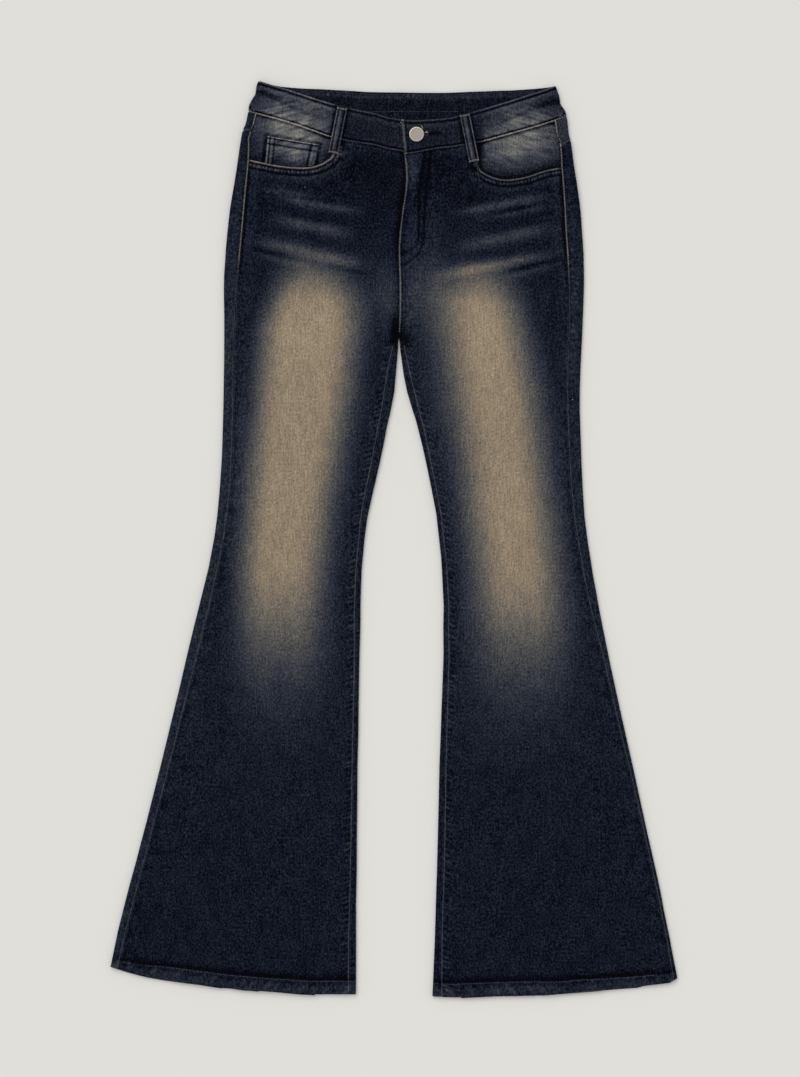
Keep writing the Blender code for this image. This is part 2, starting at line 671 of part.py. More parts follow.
# ---- pocket facings and coin pocket -----------------------------------------------------------------
def make_facing(side, name, material):
    """Hip facing that shows in the pocket opening; its lower edge lies under the front panel."""
    low = []
    nudge = 0.01
    for step in range(FACING_STEPS + 1):
        share = step / FACING_STEPS
        x, y = along(SCOOP[side], share)
        x1, y1 = along(SCOOP[side], max(share - nudge, 0.0))
        x2, y2 = along(SCOOP[side], min(share + nudge, 1.0))
        length = math.hypot(x2 - x1, y2 - y1)
        inward = abs(y2 - y1) / length * POCKET_TUCK
        downward = abs(x2 - x1) / length * POCKET_TUCK
        low.append((x - side * inward, y - downward))
    low[0] = (front_outer(side, low[0][1]), low[0][1])
    last_x = SCOOP[side][-1][0] - side * POCKET_TUCK
    low[-1] = (last_x, band_seam_front(last_x) - GAP)
    top = []
    corner_x = front_outer(side, FACING_CORNER_Y)
    for step in range(1, FACING_TOP_STEPS + 1):
        x = lerp(last_x, corner_x, step / FACING_TOP_STEPS)
        top.append((x, band_seam_front(x) - GAP))
    seam = [(front_outer(side, y), y) for y in FACING_SEAM_ROWS]
    return plate(name, low + top + seam, FRONT_UNDER, CLOTH, material)


def make_coin_pocket(name, material):
    """Small patch pocket on the right facing; its lower end stops at the opening's edge."""
    top_left, top_right, low_right, low_left = COIN_POCKET_CORNERS
    inside = [p for p in SCOOP_POINTS[-1] if low_left[0] < p[0] < low_right[0]]
    bottom = [(x, y + 2 * GAP) for x, y in inside]
    outline = [top_left, top_right] + bottom[::-1]
    return plate(name, outline[::-1], RAISED_UNDER, CLOTH, material)


# ---- fly --------------------------------------------------------------------------------------------
def make_fly_shield(name, material):
    """Shield behind the zip: a strip with a rounded lower corner, on the inside of the right front."""
    top_y = band_seam_front(0.0) - 2 * GAP
    left_x, right_x = SHIELD_SIDES
    corner = SHIELD_CORNER
    outline = [(left_x, top_y), (left_x, FLY_BOTTOM)]
    for step in range(7):
        angle = math.radians(-90 + 15 * step)
        x = right_x - corner + corner * math.cos(angle)
        outline.append((x, FLY_BOTTOM + corner + corner * math.sin(angle)))
    outline.append((right_x, top_y))
    return plate(name, outline, LAYER, CLOTH, material)


def make_zip(name, material):
    """Closed zip under the left front, with its tape beside the edge of the right front."""
    top_y = band_seam_front(0.0) - 2 * GAP
    low_y = FLY_BOTTOM + 0.006
    near = []
    for step in range(ZIP_STEPS + 1):
        y = lerp(low_y, top_y, step / ZIP_STEPS)
        near.append((front_inner(-1, y) + 2 * GAP, y))
    far = [(ZIP_FAR_X, top_y), (ZIP_FAR_X, low_y + 0.010), (ZIP_FAR_X - 0.005, low_y)]
    return plate(name, near + far, FRONT_UNDER, CLOTH, material)


# ---- waistband --------------------------------------------------------------------------------------
def band_height(x):
    """Underside of the waistband's left front half, which climbs over the right one near the middle."""
    climb = 1.0 - smooth((x - BAND_CLIMB_START) / BAND_CLIMB_LENGTH)
    return lerp(BAND_UNDER, LAP_UNDER, climb)


def band_row(depth_share):
    """One row of the waistband: right end, right fold, back, left fold, left end, as point pairs."""
    fold_y = lerp(WAIST_SEAM_Y, SIDE_EDGES[0].y, depth_share)
    near_crease = 1.0 - smooth(abs(depth_share - BAND_CREASE_ROW) / 0.2)
    right_fold, left_fold = side_edge(-1, fold_y), side_edge(1, fold_y)
    radius = BAND_TOP / 2

    def front_y(x, fold):
        share = x / abs(fold)
        return lerp(waist_line("front_seam", share), waist_line("front_top", share), depth_share)

    def back_y(x):
        share = x / (left_fold if x > 0 else -right_fold)
        return lerp(waist_line("back_seam", share), waist_line("back_top", share), depth_share)

    def front_pair(x, fold, under):
        y = front_y(x, fold)
        crease = near_crease * BAND_CREASE_DEPTH * smooth((abs(x) - BAND_CREASE_START) / BAND_CREASE_BLEND)
        return (x, y, under + BAND_WALL - crease), (x, y, under - crease)

    def fold_pairs(side, fold):
        pairs = []
        for step in range(FOLD_STEPS + 2):
            angle = math.pi * (0.5 - step / (FOLD_STEPS + 1))
            small = radius - BAND_WALL
            centre = fold - side * radius
            outer = (centre + side * radius * math.cos(angle), fold_y, radius + radius * math.sin(angle))
            inner = (centre + side * small * math.cos(angle), fold_y, radius + small * math.sin(angle))
            pairs.append((outer, inner))
        return pairs

    pairs = [front_pair(UNDERLAP_X, right_fold, BAND_UNDER), front_pair(0.015, right_fold, BAND_UNDER)]
    pairs += [front_pair(0.0, right_fold, BAND_UNDER)]
    pairs += [front_pair(-x, right_fold, BAND_UNDER) for x in BAND_FRONT_X[1:]]
    pairs += fold_pairs(-1, right_fold)
    for step in range(1, BAND_BACK_STEPS):
        x = lerp(right_fold + radius, left_fold - radius, step / BAND_BACK_STEPS)
        y = back_y(x)
        raised = lift(x, y)
        pairs.append(((x, y, raised), (x, y, raised + BAND_WALL)))
    pairs += fold_pairs(1, left_fold)[::-1]
    pairs += [front_pair(x, left_fold, band_height(x)) for x in reversed(BAND_FRONT_X)]
    end_x = lerp(fly_edge(0.445), fly_edge(0.482), depth_share)
    pairs.append(front_pair(end_x, left_fold, LAP_UNDER))
    return pairs


def make_waistband(name, material):
    """Waistband in one strip, folded at both sides, its left end over its right end in front."""
    rows = [band_row(share) for share in BAND_ROWS]
    return sheet(name, [[pair[0] for pair in row] for row in rows],
                 [[pair[1] for pair in row] for row in rows], material)


# ---- belt loops, back pockets, button ---------------------------------------------------------------
def make_strip(name, start, end, heights, width, wall, material):
    """Straight strip from start to end; heights are its undersides at equal steps along it."""
    length = math.hypot(end[0] - start[0], end[1] - start[1])
    across = ((start[1] - end[1]) / length, (end[0] - start[0]) / length)
    outer, inner = [], []
    for step, height in enumerate(heights):
        t = step / (len(heights) - 1)
        x, y = lerp(start[0], end[0], t), lerp(start[1], end[1], t)
        places = [(x + across[0] * width * k, y + across[1] * width * k) for k in (-0.5, 0.0, 0.5)]
        outer.append([(px, py, height + wall) for px, py in places])
        inner.append([(px, py, height) for px, py in places])
    return sheet(name, outer, inner, material)


def make_front_loop(loop, material):
    """Belt loop over the waistband's front, sewn down on the panel below it."""
    on_band = BAND_TOP + GAP
    on_panel = RAISED_UNDER + CLOTH + GAP
    heights = []
    for step in range(LOOP_STEPS + 1):
        t = step / LOOP_STEPS
        x, y = lerp(loop.top[0], loop.bottom[0], t), lerp(loop.top[1], loop.bottom[1], t)
        below_seam = band_seam_front(x) - y
        drop = smooth((below_seam - LOOP_DROP_START + LOOP_DROP_LENGTH) / LOOP_DROP_LENGTH)
        heights.append(lerp(on_band, on_panel, drop) + LOOP_BOW * math.sin(math.pi * t))
    return make_strip(loop.name, loop.top, loop.bottom, heights, LOOP_WIDTH, LOOP_WALL, material)


def make_back_loop(loop, material):
    """Belt loop on the back of the waistband, flat on the floor."""
    return make_strip(loop.name, loop.top, loop.bottom, [0.0, 0.0], LOOP_WIDTH, CLOTH, material)


def make_back_pocket(side, name, material):
    """Plain five-sided patch pocket on the outside of the back leg panel, flat on the floor."""
    pocket = BACK_POCKET
    low = pocket.top - pocket.side_height
    centre = side * pocket.x
    outline = [
        (centre - pocket.top_width / 2, pocket.top),
        (centre - pocket.low_width / 2, low),
        (centre, low - pocket.point),
        (centre + pocket.low_width / 2, low),
        (centre + pocket.top_width / 2, pocket.top),
    ]
    return plate(name, outline, 0.0, CLOTH, material)


def make_button(name, material):
    """Metal button: shank, rounded rim and a slightly sunk plain face."""
    foot = LAP_UNDER + BAND_WALL + GAP
    head = foot + BUTTON_SHANK
    top = head + BUTTON_HEAD
    profile = [
        (BUTTON_SHANK_RADIUS, foot),
        (BUTTON_SHANK_RADIUS, head),
        (BUTTON_RADIUS * 0.92, head),
        (BUTTON_RADIUS, head + BUTTON_HEAD * 0.35),
        (BUTTON_RADIUS * 0.98, head + BUTTON_HEAD * 0.70),
        (BUTTON_RADIUS * 0.90, top),
        (BUTTON_RADIUS * 0.78, top - BUTTON_HEAD * 0.10),
        (BUTTON_RADIUS * 0.72, top - BUTTON_HEAD * 0.25),
    ]
    points = []
    for radius, z in profile:
        for index in range(BUTTON_SIDES):
            angle = 2 * math.pi * index / BUTTON_SIDES
            points.append((BUTTON_X + radius * math.cos(angle), BUTTON_Y + radius * math.sin(angle), z))
    faces = [tuple(range(BUTTON_SIDES))]
    for ring in range(len(profile) - 1):
        base = ring * BUTTON_SIDES
        for index in range(BUTTON_SIDES):
            following = (index + 1) % BUTTON_SIDES
            faces.append((base + index, base + following,
                          base + BUTTON_SIDES + following, base + BUTTON_SIDES + index))
    top_ring = (len(profile) - 1) * BUTTON_SIDES
    faces.append(tuple(top_ring + index for index in range(BUTTON_SIDES)))
    return add_mesh(name, points, faces, material)


# ---- the whole garment ------------------------------------------------------------------------------
DEEP_INDIGO = (0.012, 0.016, 0.030)
FADED_INDIGO = (0.055, 0.058, 0.068)
INSIDE_INDIGO = (0.014, 0.017, 0.028)
PALE_METAL = (0.74, 0.66, 0.55)
DENIM_ROUGHNESS = 0.88


def cloth_material(node, color):
    """Material of one cloth piece."""
    return make_material(node + "_denim", color, DENIM_ROUGHNESS)


def build():
    """Make every piece of the jeans."""
    clear_scene()
    for side, hand in ((-1, "right"), (1, "left")):
        name = "front_leg_" + hand
        make_front_leg(side, name, cloth_material(name, DEEP_INDIGO))
        name = "back_leg_" + hand
        make_back_leg(side, name, cloth_material(name, DEEP_INDIGO))
        name = "back_yoke_" + hand
        make_yoke(side, name, cloth_material(name, DEEP_INDIGO))
        name = "pocket_facing_" + hand
        make_facing(side, name, cloth_material(name, FADED_INDIGO))
        name = "back_pocket_" + hand
        make_back_pocket(side, name, cloth_material(name, DEEP_INDIGO))
    make_coin_pocket("coin_pocket", cloth_material("coin_pocket", FADED_INDIGO))
    make_waistband("waistband", cloth_material("waistband", INSIDE_INDIGO))
    make_fly_shield("fly_shield", cloth_material("fly_shield", INSIDE_INDIGO))
    make_zip("fly_zip", cloth_material("fly_zip", INSIDE_INDIGO))
    for loop in FRONT_LOOPS:
        make_front_loop(loop, cloth_material(loop.name, FADED_INDIGO))
    for loop in BACK_LOOPS:
        make_back_loop(loop, cloth_material(loop.name, DEEP_INDIGO))
    make_button("waist_button", make_material("button_metal", PALE_METAL, 0.35, metallic=1.0))


build()
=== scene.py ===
"""Dark blue flared jeans, laid flat on a pale floor and seen from straight above.

Every cloth piece is a thin shell on the form of its solid, finely divided, with the seams' puckers, the roped
hems and the soft creases as relief. All sizes are metres in the frame of the part: +Y runs from the hems to
the waist, +X to the wearer's left, and the cloth lies on z = 0. In names "right" and "left" are the wearer's.
"""

import math
import random
from collections import namedtuple
from functools import reduce

import bpy
import numpy as np
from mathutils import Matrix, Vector, noise
from mathutils.bvhtree import BVHTree


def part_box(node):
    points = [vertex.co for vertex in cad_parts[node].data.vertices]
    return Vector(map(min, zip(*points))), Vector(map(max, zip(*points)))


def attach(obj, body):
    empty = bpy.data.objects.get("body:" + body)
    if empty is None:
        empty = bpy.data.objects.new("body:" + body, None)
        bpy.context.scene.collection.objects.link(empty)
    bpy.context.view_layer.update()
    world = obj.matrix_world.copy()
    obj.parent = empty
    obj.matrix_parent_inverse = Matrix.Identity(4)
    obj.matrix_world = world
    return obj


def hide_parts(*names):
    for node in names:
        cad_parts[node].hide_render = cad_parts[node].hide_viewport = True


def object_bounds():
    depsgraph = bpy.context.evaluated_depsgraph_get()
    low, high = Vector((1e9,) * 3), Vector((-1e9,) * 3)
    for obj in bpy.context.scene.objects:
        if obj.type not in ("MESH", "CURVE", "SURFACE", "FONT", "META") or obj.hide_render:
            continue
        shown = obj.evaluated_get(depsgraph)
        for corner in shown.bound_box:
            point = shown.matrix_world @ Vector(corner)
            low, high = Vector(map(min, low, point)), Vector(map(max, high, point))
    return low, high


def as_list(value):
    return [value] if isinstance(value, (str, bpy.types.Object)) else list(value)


SIDES = {-1: "right", 1: "left"}

# ---- cloth ------------------------------------------------------------------------------------------
CLOTH = 0.0010
GAP = 0.0003
HEM_WALL = 0.0020
BAND_WALL = 0.0018
LOOP_WALL = 0.0012
CROTCH_Y = 0.2334
CURL_LENGTH = 0.0150        # below the crotch the inner edge rolls up over this length

# ---- how finely the cloth is divided ----------------------------------------------------------------
ROW_STEP = 0.0016           # cells along a leg
CUT_STEP = 0.0010           # planes that read an edge of a solid
SEAM_COLUMNS = (0.0, 0.0004, 0.0009, 0.0016, 0.0024, 0.0034, 0.0046, 0.0060, 0.0076, 0.0095, 0.0120, 0.0150)
SCOOP_COLUMNS = (0.0230, 0.0205, 0.0180, 0.0156, 0.0133, 0.0111, 0.0090, 0.0071, 0.0054, 0.0039, 0.0026,
                 0.0015, 0.0006, 0.0, -0.0004, -0.0016, -0.0032)    # from where the opening turns up
OUTER_COLUMNS = 62          # between the side seam's columns and the pocket's
INNER_COLUMNS = 8           # between the pocket's columns and the fly's
FLY_COLUMNS = tuple(np.linspace(0.0345, 0.0162, 17))    # across the fly's curved rows, from its edge

# ---- the wash: where the indigo has been faded away -------------------------------------------------
# Amounts are the brightness that the cloth shows there, from 0 (ink) to 1 (ecru).
Fade = namedtuple("Fade", "y right_out right_in left_in left_out strength")
THIGH_FADES = [             # the edges of the long pale fades, at half their strength
    Fade(0.3300, -0.1310, -0.0850, 0.0700, 0.1080, 0.00),
    Fade(0.3050, -0.1400, -0.0740, 0.0580, 0.1150, 0.36),
    Fade(0.2740, -0.1500, -0.0640, 0.0480, 0.1240, 0.62),
    Fade(0.2400, -0.1610, -0.0590, 0.0480, 0.1320, 0.66),
    Fade(0.1720, -0.1660, -0.0635, 0.0560, 0.1490, 0.62),
    Fade(0.1030, -0.1720, -0.0740, 0.0690, 0.1580, 0.61),
    Fade(0.0340, -0.1760, -0.0850, 0.0770, 0.1680, 0.61),
    Fade(-0.0360, -0.1805, -0.0920, 0.0880, 0.1780, 0.59),
    Fade(-0.0700, -0.1810, -0.0930, 0.0890, 0.1830, 0.51),
    Fade(-0.1050, -0.1820, -0.0910, 0.0900, 0.1880, 0.37),
    Fade(-0.1400, -0.1825, -0.0900, 0.0900, 0.1900, 0.23),
    Fade(-0.1740, -0.1830, -0.0900, 0.0900, 0.1920, 0.12),
    Fade(-0.2080, -0.1830, -0.0900, 0.0900, 0.1930, 0.05),
    Fade(-0.2600, -0.1830, -0.0900, 0.0900, 0.1930, 0.00),
]
FADE_SOFTNESS = {"right_out": 0.026, "right_in": 0.031, "left_in": 0.036, "left_out": 0.034}    # half widths

GROUND = [                  # the dark ground, from the hems to the waist: Y and amount
    (-0.524, 0.158), (-0.350, 0.165), (-0.200, 0.185), (0.050, 0.195),
    (0.250, 0.180), (0.360, 0.155), (0.430, 0.130), (0.524, 0.130),
]

Streak = namedtuple("Streak", "x0 y0 x1 y1 width amount")   # a soft line, pale or dark, high or low
WHISKERS = [                # pale and dark streaks that fan out over the hips
    Streak(-0.160, 0.3920, -0.040, 0.3740, 0.0055, 0.19),
    Streak(-0.180, 0.4030, -0.095, 0.3900, 0.0045, 0.12),
    Streak(-0.138, 0.3930, -0.060, 0.3830, 0.0022, -0.10),
    Streak(-0.166, 0.3690, -0.050, 0.3480, 0.0070, 0.21),
    Streak(-0.150, 0.3745, -0.070, 0.3600, 0.0030, -0.06),
    Streak(-0.192, 0.3440, -0.030, 0.3120, 0.0080, 0.26),
    Streak(-0.190, 0.3350, -0.125, 0.3205, 0.0032, -0.10),
    Streak(-0.104, 0.3170, -0.034, 0.3025, 0.0030, -0.09),
    Streak(-0.180, 0.3270, -0.100, 0.3090, 0.0050, 0.12),
    Streak(0.040, 0.3730, 0.180, 0.4015, 0.0050, 0.21),
    Streak(0.074, 0.3670, 0.178, 0.3890, 0.0038, 0.12),
    Streak(0.100, 0.3760, 0.152, 0.3870, 0.0022, -0.08),
    Streak(0.076, 0.3480, 0.178, 0.3740, 0.0050, -0.05),
    Streak(0.042, 0.3320, 0.180, 0.3670, 0.0080, 0.20),
    Streak(0.016, 0.3000, 0.186, 0.3345, 0.0060, 0.26),
    Streak(0.106, 0.3075, 0.186, 0.3280, 0.0032, -0.12),
    Streak(0.104, 0.3010, 0.184, 0.3230, 0.0045, 0.11),
]

Spot = namedtuple("Spot", "x y rx ry amount")
FRONT_SPOTS = [             # soft patches of the fronts, paler or darker than the ground
    Spot(-0.030, 0.415, 0.050, 0.045, -0.020),
    Spot(0.075, 0.415, 0.055, 0.030, -0.004),
    Spot(0.004, 0.424, 0.009, 0.020, 0.180),
    Spot(0.008, 0.358, 0.012, 0.036, 0.045),
    Spot(0.030, 0.350, 0.012, 0.040, 0.050),
    Spot(0.020, 0.285, 0.032, 0.045, 0.125),
    Spot(-0.018, 0.285, 0.018, 0.030, 0.050),
    Spot(0.040, 0.290, 0.030, 0.030, 0.070),
    Spot(0.028, 0.170, 0.022, 0.080, 0.045),
    Spot(-0.045, 0.275, 0.035, 0.035, 0.080),
    Spot(-0.022, 0.300, 0.018, 0.030, 0.020),
    Spot(-0.195, 0.130, 0.012, 0.120, 0.020),
]
WAIST_SPOTS = [             # the faded sides of the waistband and of the pocket facings
    Spot(-0.126, 0.4720, 0.036, 0.032, 0.47),
    Spot(-0.160, 0.4850, 0.020, 0.022, 0.18),
    Spot(-0.135, 0.4400, 0.032, 0.018, 0.16),
    Spot(0.118, 0.4560, 0.038, 0.024, 0.43),
    Spot(0.135, 0.4880, 0.030, 0.014, 0.29),
    Spot(0.090, 0.4380, 0.016, 0.022, 0.02),
    Spot(0.155, 0.4640, 0.024, 0.022, 0.20),
]
WAIST_FADE_END = {-1: (0.084, 0.006), 1: (0.086, 0.006)}    # the waist's fades end at the front loops


def lerp(a, b, t):
    """Value a share t of the way from a to b."""
    return a + (b - a) * t


def smooth(t):
    """Ease from 0 to 1 as t goes from 0 to 1."""
    t = np.clip(t, 0.0, 1.0)
    return t * t * (3.0 - 2.0 * t)


def column(rows, name, y):
    """Read one column of a table, whose rows start with their Y, at the heights given."""
    rows = sorted(rows)
    return np.interp(y, [row.y for row in rows], [getattr(row, name) for row in rows])


def profile(stops, at):
    """Read a list of pairs, such as distance and amount, at the places given."""
    return np.interp(at, *zip(*stops))


def nearest(*distances):
    """The smallest of several distances, point by point."""
    return reduce(np.minimum, distances)


def from_column(index, *parts):
    """Distance of a grid's points from the one of their row in a column; parts are the coordinates."""
    return sum(np.abs(part - part[:, [index]]) for part in parts)


def across_line(start, end, reach):
    """Step in plan of the given length to the left of a line."""
    length = math.dist(start, end)
    return (start[1] - end[1]) / length * reach, (end[0] - start[0]) / length * reach


# ---- reading the solids -----------------------------------------------------------------------------
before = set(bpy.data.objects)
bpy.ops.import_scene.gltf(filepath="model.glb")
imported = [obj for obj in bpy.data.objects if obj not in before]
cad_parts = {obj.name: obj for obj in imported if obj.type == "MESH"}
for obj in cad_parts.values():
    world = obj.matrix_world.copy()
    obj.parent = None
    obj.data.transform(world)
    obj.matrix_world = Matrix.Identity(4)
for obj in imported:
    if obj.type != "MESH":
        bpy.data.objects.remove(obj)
cad_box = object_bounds()


class Solid:
    """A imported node, read by cutting it with planes and by dropping points on it."""

    def __init__(self, name):
        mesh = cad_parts[name].data
        self.points = np.array([tuple(vertex.co) for vertex in mesh.vertices])
        self.edges = np.array([tuple(edge.vertices) for edge in mesh.edges])
        polygons = [tuple(polygon.vertices) for polygon in mesh.polygons]
        self.tree = BVHTree.FromPolygons([vertex.co for vertex in mesh.vertices], polygons)

    def cut(self, axis, level):
        """Points where the plane x = level (axis 0) or y = level (axis 1) meets the node's edges."""
        start = self.points[self.edges[:, 0]]
        end = self.points[self.edges[:, 1]]
        before = start[:, axis] - level
        after = end[:, axis] - level
        crossing = before * after < 0
        share = before[crossing] / (before[crossing] - after[crossing])
        return start[crossing] + (end[crossing] - start[crossing]) * share[:, None]

    def line(self, axis, low, high, measure):
        """Measure the cuts from low to high, and give a function that reads the measure anywhere."""
        kept = []
        values = []
        for level in np.arange(low, high, CUT_STEP) + CUT_STEP / 99:
            points = self.cut(axis, level)
            value = measure(points) if len(points) else None
            if value is not None:
                kept.append(level)
                values.append(value)
        return lambda at: np.interp(at, kept, values)

    def height(self, xs, ys, from_above=True):
        """Height of the upper or the under face at points in plan."""
        sign = 1.0 if from_above else -1.0
        start_z = 0.05 * sign
        heights = []
        for x, y in zip(np.ravel(xs), np.ravel(ys)):
            hit = self.tree.ray_cast((x, y, start_z), (0.0, 0.0, -sign))[0]
            if hit is None:
                hit = self.tree.find_nearest((x, y, start_z / 5))[0]
            heights.append(hit.z)
        return np.reshape(heights, np.shape(xs))


def outermost(side):
    """Measure of a cut: the X furthest out on a side."""
    return lambda points: side * (side * points[:, 0]).max()


def innermost(side):
    """Measure of a cut: the X nearest the middle on a side."""
    return lambda points: side * (side * points[:, 0]).min()


def lowest_y(points):
    """Measure of a cut: its lowest Y."""
    return points[:, 1].min()


def highest_y(points):
    """Measure of a cut: its highest Y."""
    return points[:, 1].max()


def between(low_z, high_z, measure):
    """The same measure, of the points between two heights."""
    def limited(points):
        kept = points[(points[:, 2] > low_z) & (points[:, 2] < high_z)]
        return measure(kept) if len(kept) else None

    return limited


def only(low, high, measure):
    """The same measure, left out where it falls outside a range."""
    def checked(points):
        value = measure(points)
        return value if value is not None and low < value < high else None

    return checked


solids = {name: Solid(name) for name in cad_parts}


# ---- puckers and creases ----------------------------------------------------------------------------
class Ticks:
    """Puckers along a seam: ridges at uneven distances, each with its own strength."""

    def __init__(self, seed, start, end, spacing, spread=0.35, weakest=0.35):
        draw = random.Random(seed)
        places = [start]
        while places[-1] < end:
            places.append(places[-1] + spacing * (1.0 + spread * draw.uniform(-1.0, 1.0)))
        self.places = np.array(places)
        self.strengths = np.array([draw.uniform(weakest, 1.0) for _ in places])

    def at(self, along, width):
        """Height of the ridges, from 0 to 1, at places along the seam."""
        after = np.clip(np.searchsorted(self.places, along), 1, len(self.places) - 1)
        total = np.zeros(np.shape(along))
        for index in (after - 1, after):
            away = (along - self.places[index]) / width
            total = np.maximum(total, self.strengths[index] * np.exp(-away * away))
        return total


def streak_field(streaks, x, y):
    """Sum of soft lines, each with round ends that fade out."""
    total = np.zeros(np.shape(x))
    for streak in streaks:
        length = math.hypot(streak.x1 - streak.x0, streak.y1 - streak.y0)
        ux, uy = (streak.x1 - streak.x0) / length, (streak.y1 - streak.y0) / length
        t = ((x - streak.x0) * ux + (y - streak.y0) * uy) / length
        across = ((y - streak.y0) * ux - (x - streak.x0) * uy) / streak.width
        ends = smooth(t / 0.35) * smooth((1.0 - t) / 0.35)
        total += streak.amount * ends * np.exp(-across * across)
    return total


def spot_field(spots, x, y):
    """Sum of soft patches."""
    total = np.zeros(np.shape(x))
    for spot in spots:
        total += spot.amount * np.exp(-((x - spot.x) / spot.rx) ** 2 - ((y - spot.y) / spot.ry) ** 2)
    return total


def mottle(x, y, size, seed):
    """Smooth uneven noise from about -1 to 1 with patches of the given size."""
    flat = [noise.noise(Vector((a / size, b / size, seed))) for a, b in zip(np.ravel(x), np.ravel(y))]
    return np.reshape(flat, np.shape(x)) * 2.0


# ---- shells -----------------------------------------------------------------------------------------
def grid_normals(grid):
    """Unit normals of a grid of points."""
    along = np.gradient(grid, axis=0)
    across = np.gradient(grid, axis=1)
    normal = np.cross(across, along)
    length = np.linalg.norm(normal, axis=2, keepdims=True)
    return normal / np.maximum(length, 1e-12)


def rounded(edge_distance, wall):
    """How far a turned edge draws each face in, at a distance from the edge."""
    radius = wall * 0.55
    share = 1.0 - np.clip(edge_distance / radius, 0.0, 1.0)
    return wall / 2 * (1.0 - np.sqrt(np.maximum(1.0 - share ** 2, 0.0)))


def thinned(count, step):
    """Indices 0, step, 2 step and so on, always with the last."""
    return sorted(set(list(range(0, count, step)) + [count - 1]))


def cloth_shell(node, places, wall, facing, edge_distance, wash, wear_and_shade, inside=None, step=4):
    """Close a grid of points on the cloth's good side into a thin shell.

    places are the grid's X, Y and Z. facing is 1 where its normals point out of the cloth, else -1. The wrong
    side takes every step-th row and column. The wash, and the pale rubbed places together with the painted
    shade, are kept for each point; inside gives the pair that the wrong side has instead.
    """
    grid = np.stack(places, axis=-1)
    rows, columns = grid.shape[:2]
    normals = grid_normals(grid) * facing
    wall = np.broadcast_to(wall, (rows, columns))
    draw_in = rounded(edge_distance, wall)
    good = grid - normals * draw_in[..., None]
    wrong = grid - normals * (wall - draw_in)[..., None]
    row_picks, column_picks = thinned(rows, step), thinned(columns, step)
    picked = np.ix_(row_picks, column_picks)
    points = np.concatenate([good.reshape(-1, 3), wrong[picked].reshape(-1, 3)])
    shift = rows * columns
    wide = len(column_picks)

    def at(row, col):
        return row * columns + col

    def behind(row, col):
        return shift + row * wide + col

    last_row, last_col = len(row_picks) - 1, wide - 1
    faces = [(at(row, col), at(row, col + 1), at(row + 1, col + 1), at(row + 1, col))
             for row in range(rows - 1) for col in range(columns - 1)]
    faces += [(behind(row, col), behind(row + 1, col), behind(row + 1, col + 1), behind(row, col + 1))
              for row in range(last_row) for col in range(last_col)]
    for index in range(last_col):
        span = range(column_picks[index], column_picks[index + 1] + 1)
        faces.append(tuple(at(0, col) for col in reversed(span)) + (behind(0, index), behind(0, index + 1)))
        faces.append(tuple(at(rows - 1, col) for col in span)
                     + (behind(last_row, index + 1), behind(last_row, index)))
    for index in range(last_row):
        span = range(row_picks[index], row_picks[index + 1] + 1)
        faces.append(tuple(at(row, 0) for row in span) + (behind(index + 1, 0), behind(index, 0)))
        faces.append(tuple(at(row, columns - 1) for row in reversed(span))
                     + (behind(index, last_col), behind(index + 1, last_col)))
    mesh = bpy.data.meshes.new(f"{node}_cloth")
    mesh.from_pydata(points.tolist(), [], faces)
    if facing < 0:
        mesh.flip_normals()
    # the second attribute holds the pale rubbed places and the painted shade together
    for name, good_side, wrong_side in zip(("wash", "wear_and_shade"), (wash, wear_and_shade), inside or (wash, wear_and_shade)):
        front = np.broadcast_to(good_side, (rows, columns)).ravel()
        back = np.broadcast_to(wrong_side, (rows, columns))[picked].ravel()
        attribute = mesh.attributes.new(name, "FLOAT", "POINT")
        attribute.data.foreach_set("value", np.concatenate([front, back]).astype(np.float32))
    mesh.shade_smooth()
    piece = bpy.data.objects.new(f"{node}_cloth", mesh)
    bpy.context.collection.objects.link(piece)
    return piece


# ---- edges of the garment, read from the solids -----------------------------------------------------
HEM_Y = cad_box[0][1]
FRONT_TOP_Y = 0.4000        # above this the rows of a front bend to its shaped upper edge
BACK_TOP_Y = 0.4200         # the same on the back, where its yoke seam is lowest
HEM_EASE = 0.0600           # the hem's curve fades out over this height
TOP_EASE = 0.0500
HEM_DEPTH = 0.0130
EDGE_INSET = 0.0007         # a solid's height is read this far inside its edges


def front_line(side, axis, low, high, measure):
    """An edge of a front leg panel as a function."""
    return solids[f"front_leg_{SIDES[side]}"].line(axis, low, high, measure)


def back_line(side, axis, low, high, measure):
    """An edge of a back leg panel as a function."""
    return solids[f"back_leg_{SIDES[side]}"].line(axis, low, high, measure)


FRONT_PANEL_TOP = {-1: 0.4330, 1: 0.4300}   # above this the side seam is the pocket facing's
FLY_TOP_Y = 0.4450          # just below the waistband at the front's middle
SCOOP = {                   # edge of each pocket opening, from the side seam to the waistband
    -1: [(-0.1827, 0.4338), (-0.1486, 0.4275), (-0.1204, 0.4257), (-0.1044, 0.4283),
         (-0.0930, 0.4342), (-0.0862, 0.4412), (-0.0831, 0.4609)],
    1: [(0.1762, 0.4307), (0.1579, 0.4269), (0.1373, 0.4197), (0.1167, 0.4159),
        (0.1029, 0.4168), (0.0890, 0.4223), (0.0807, 0.4313), (0.0803, 0.4584)],
}

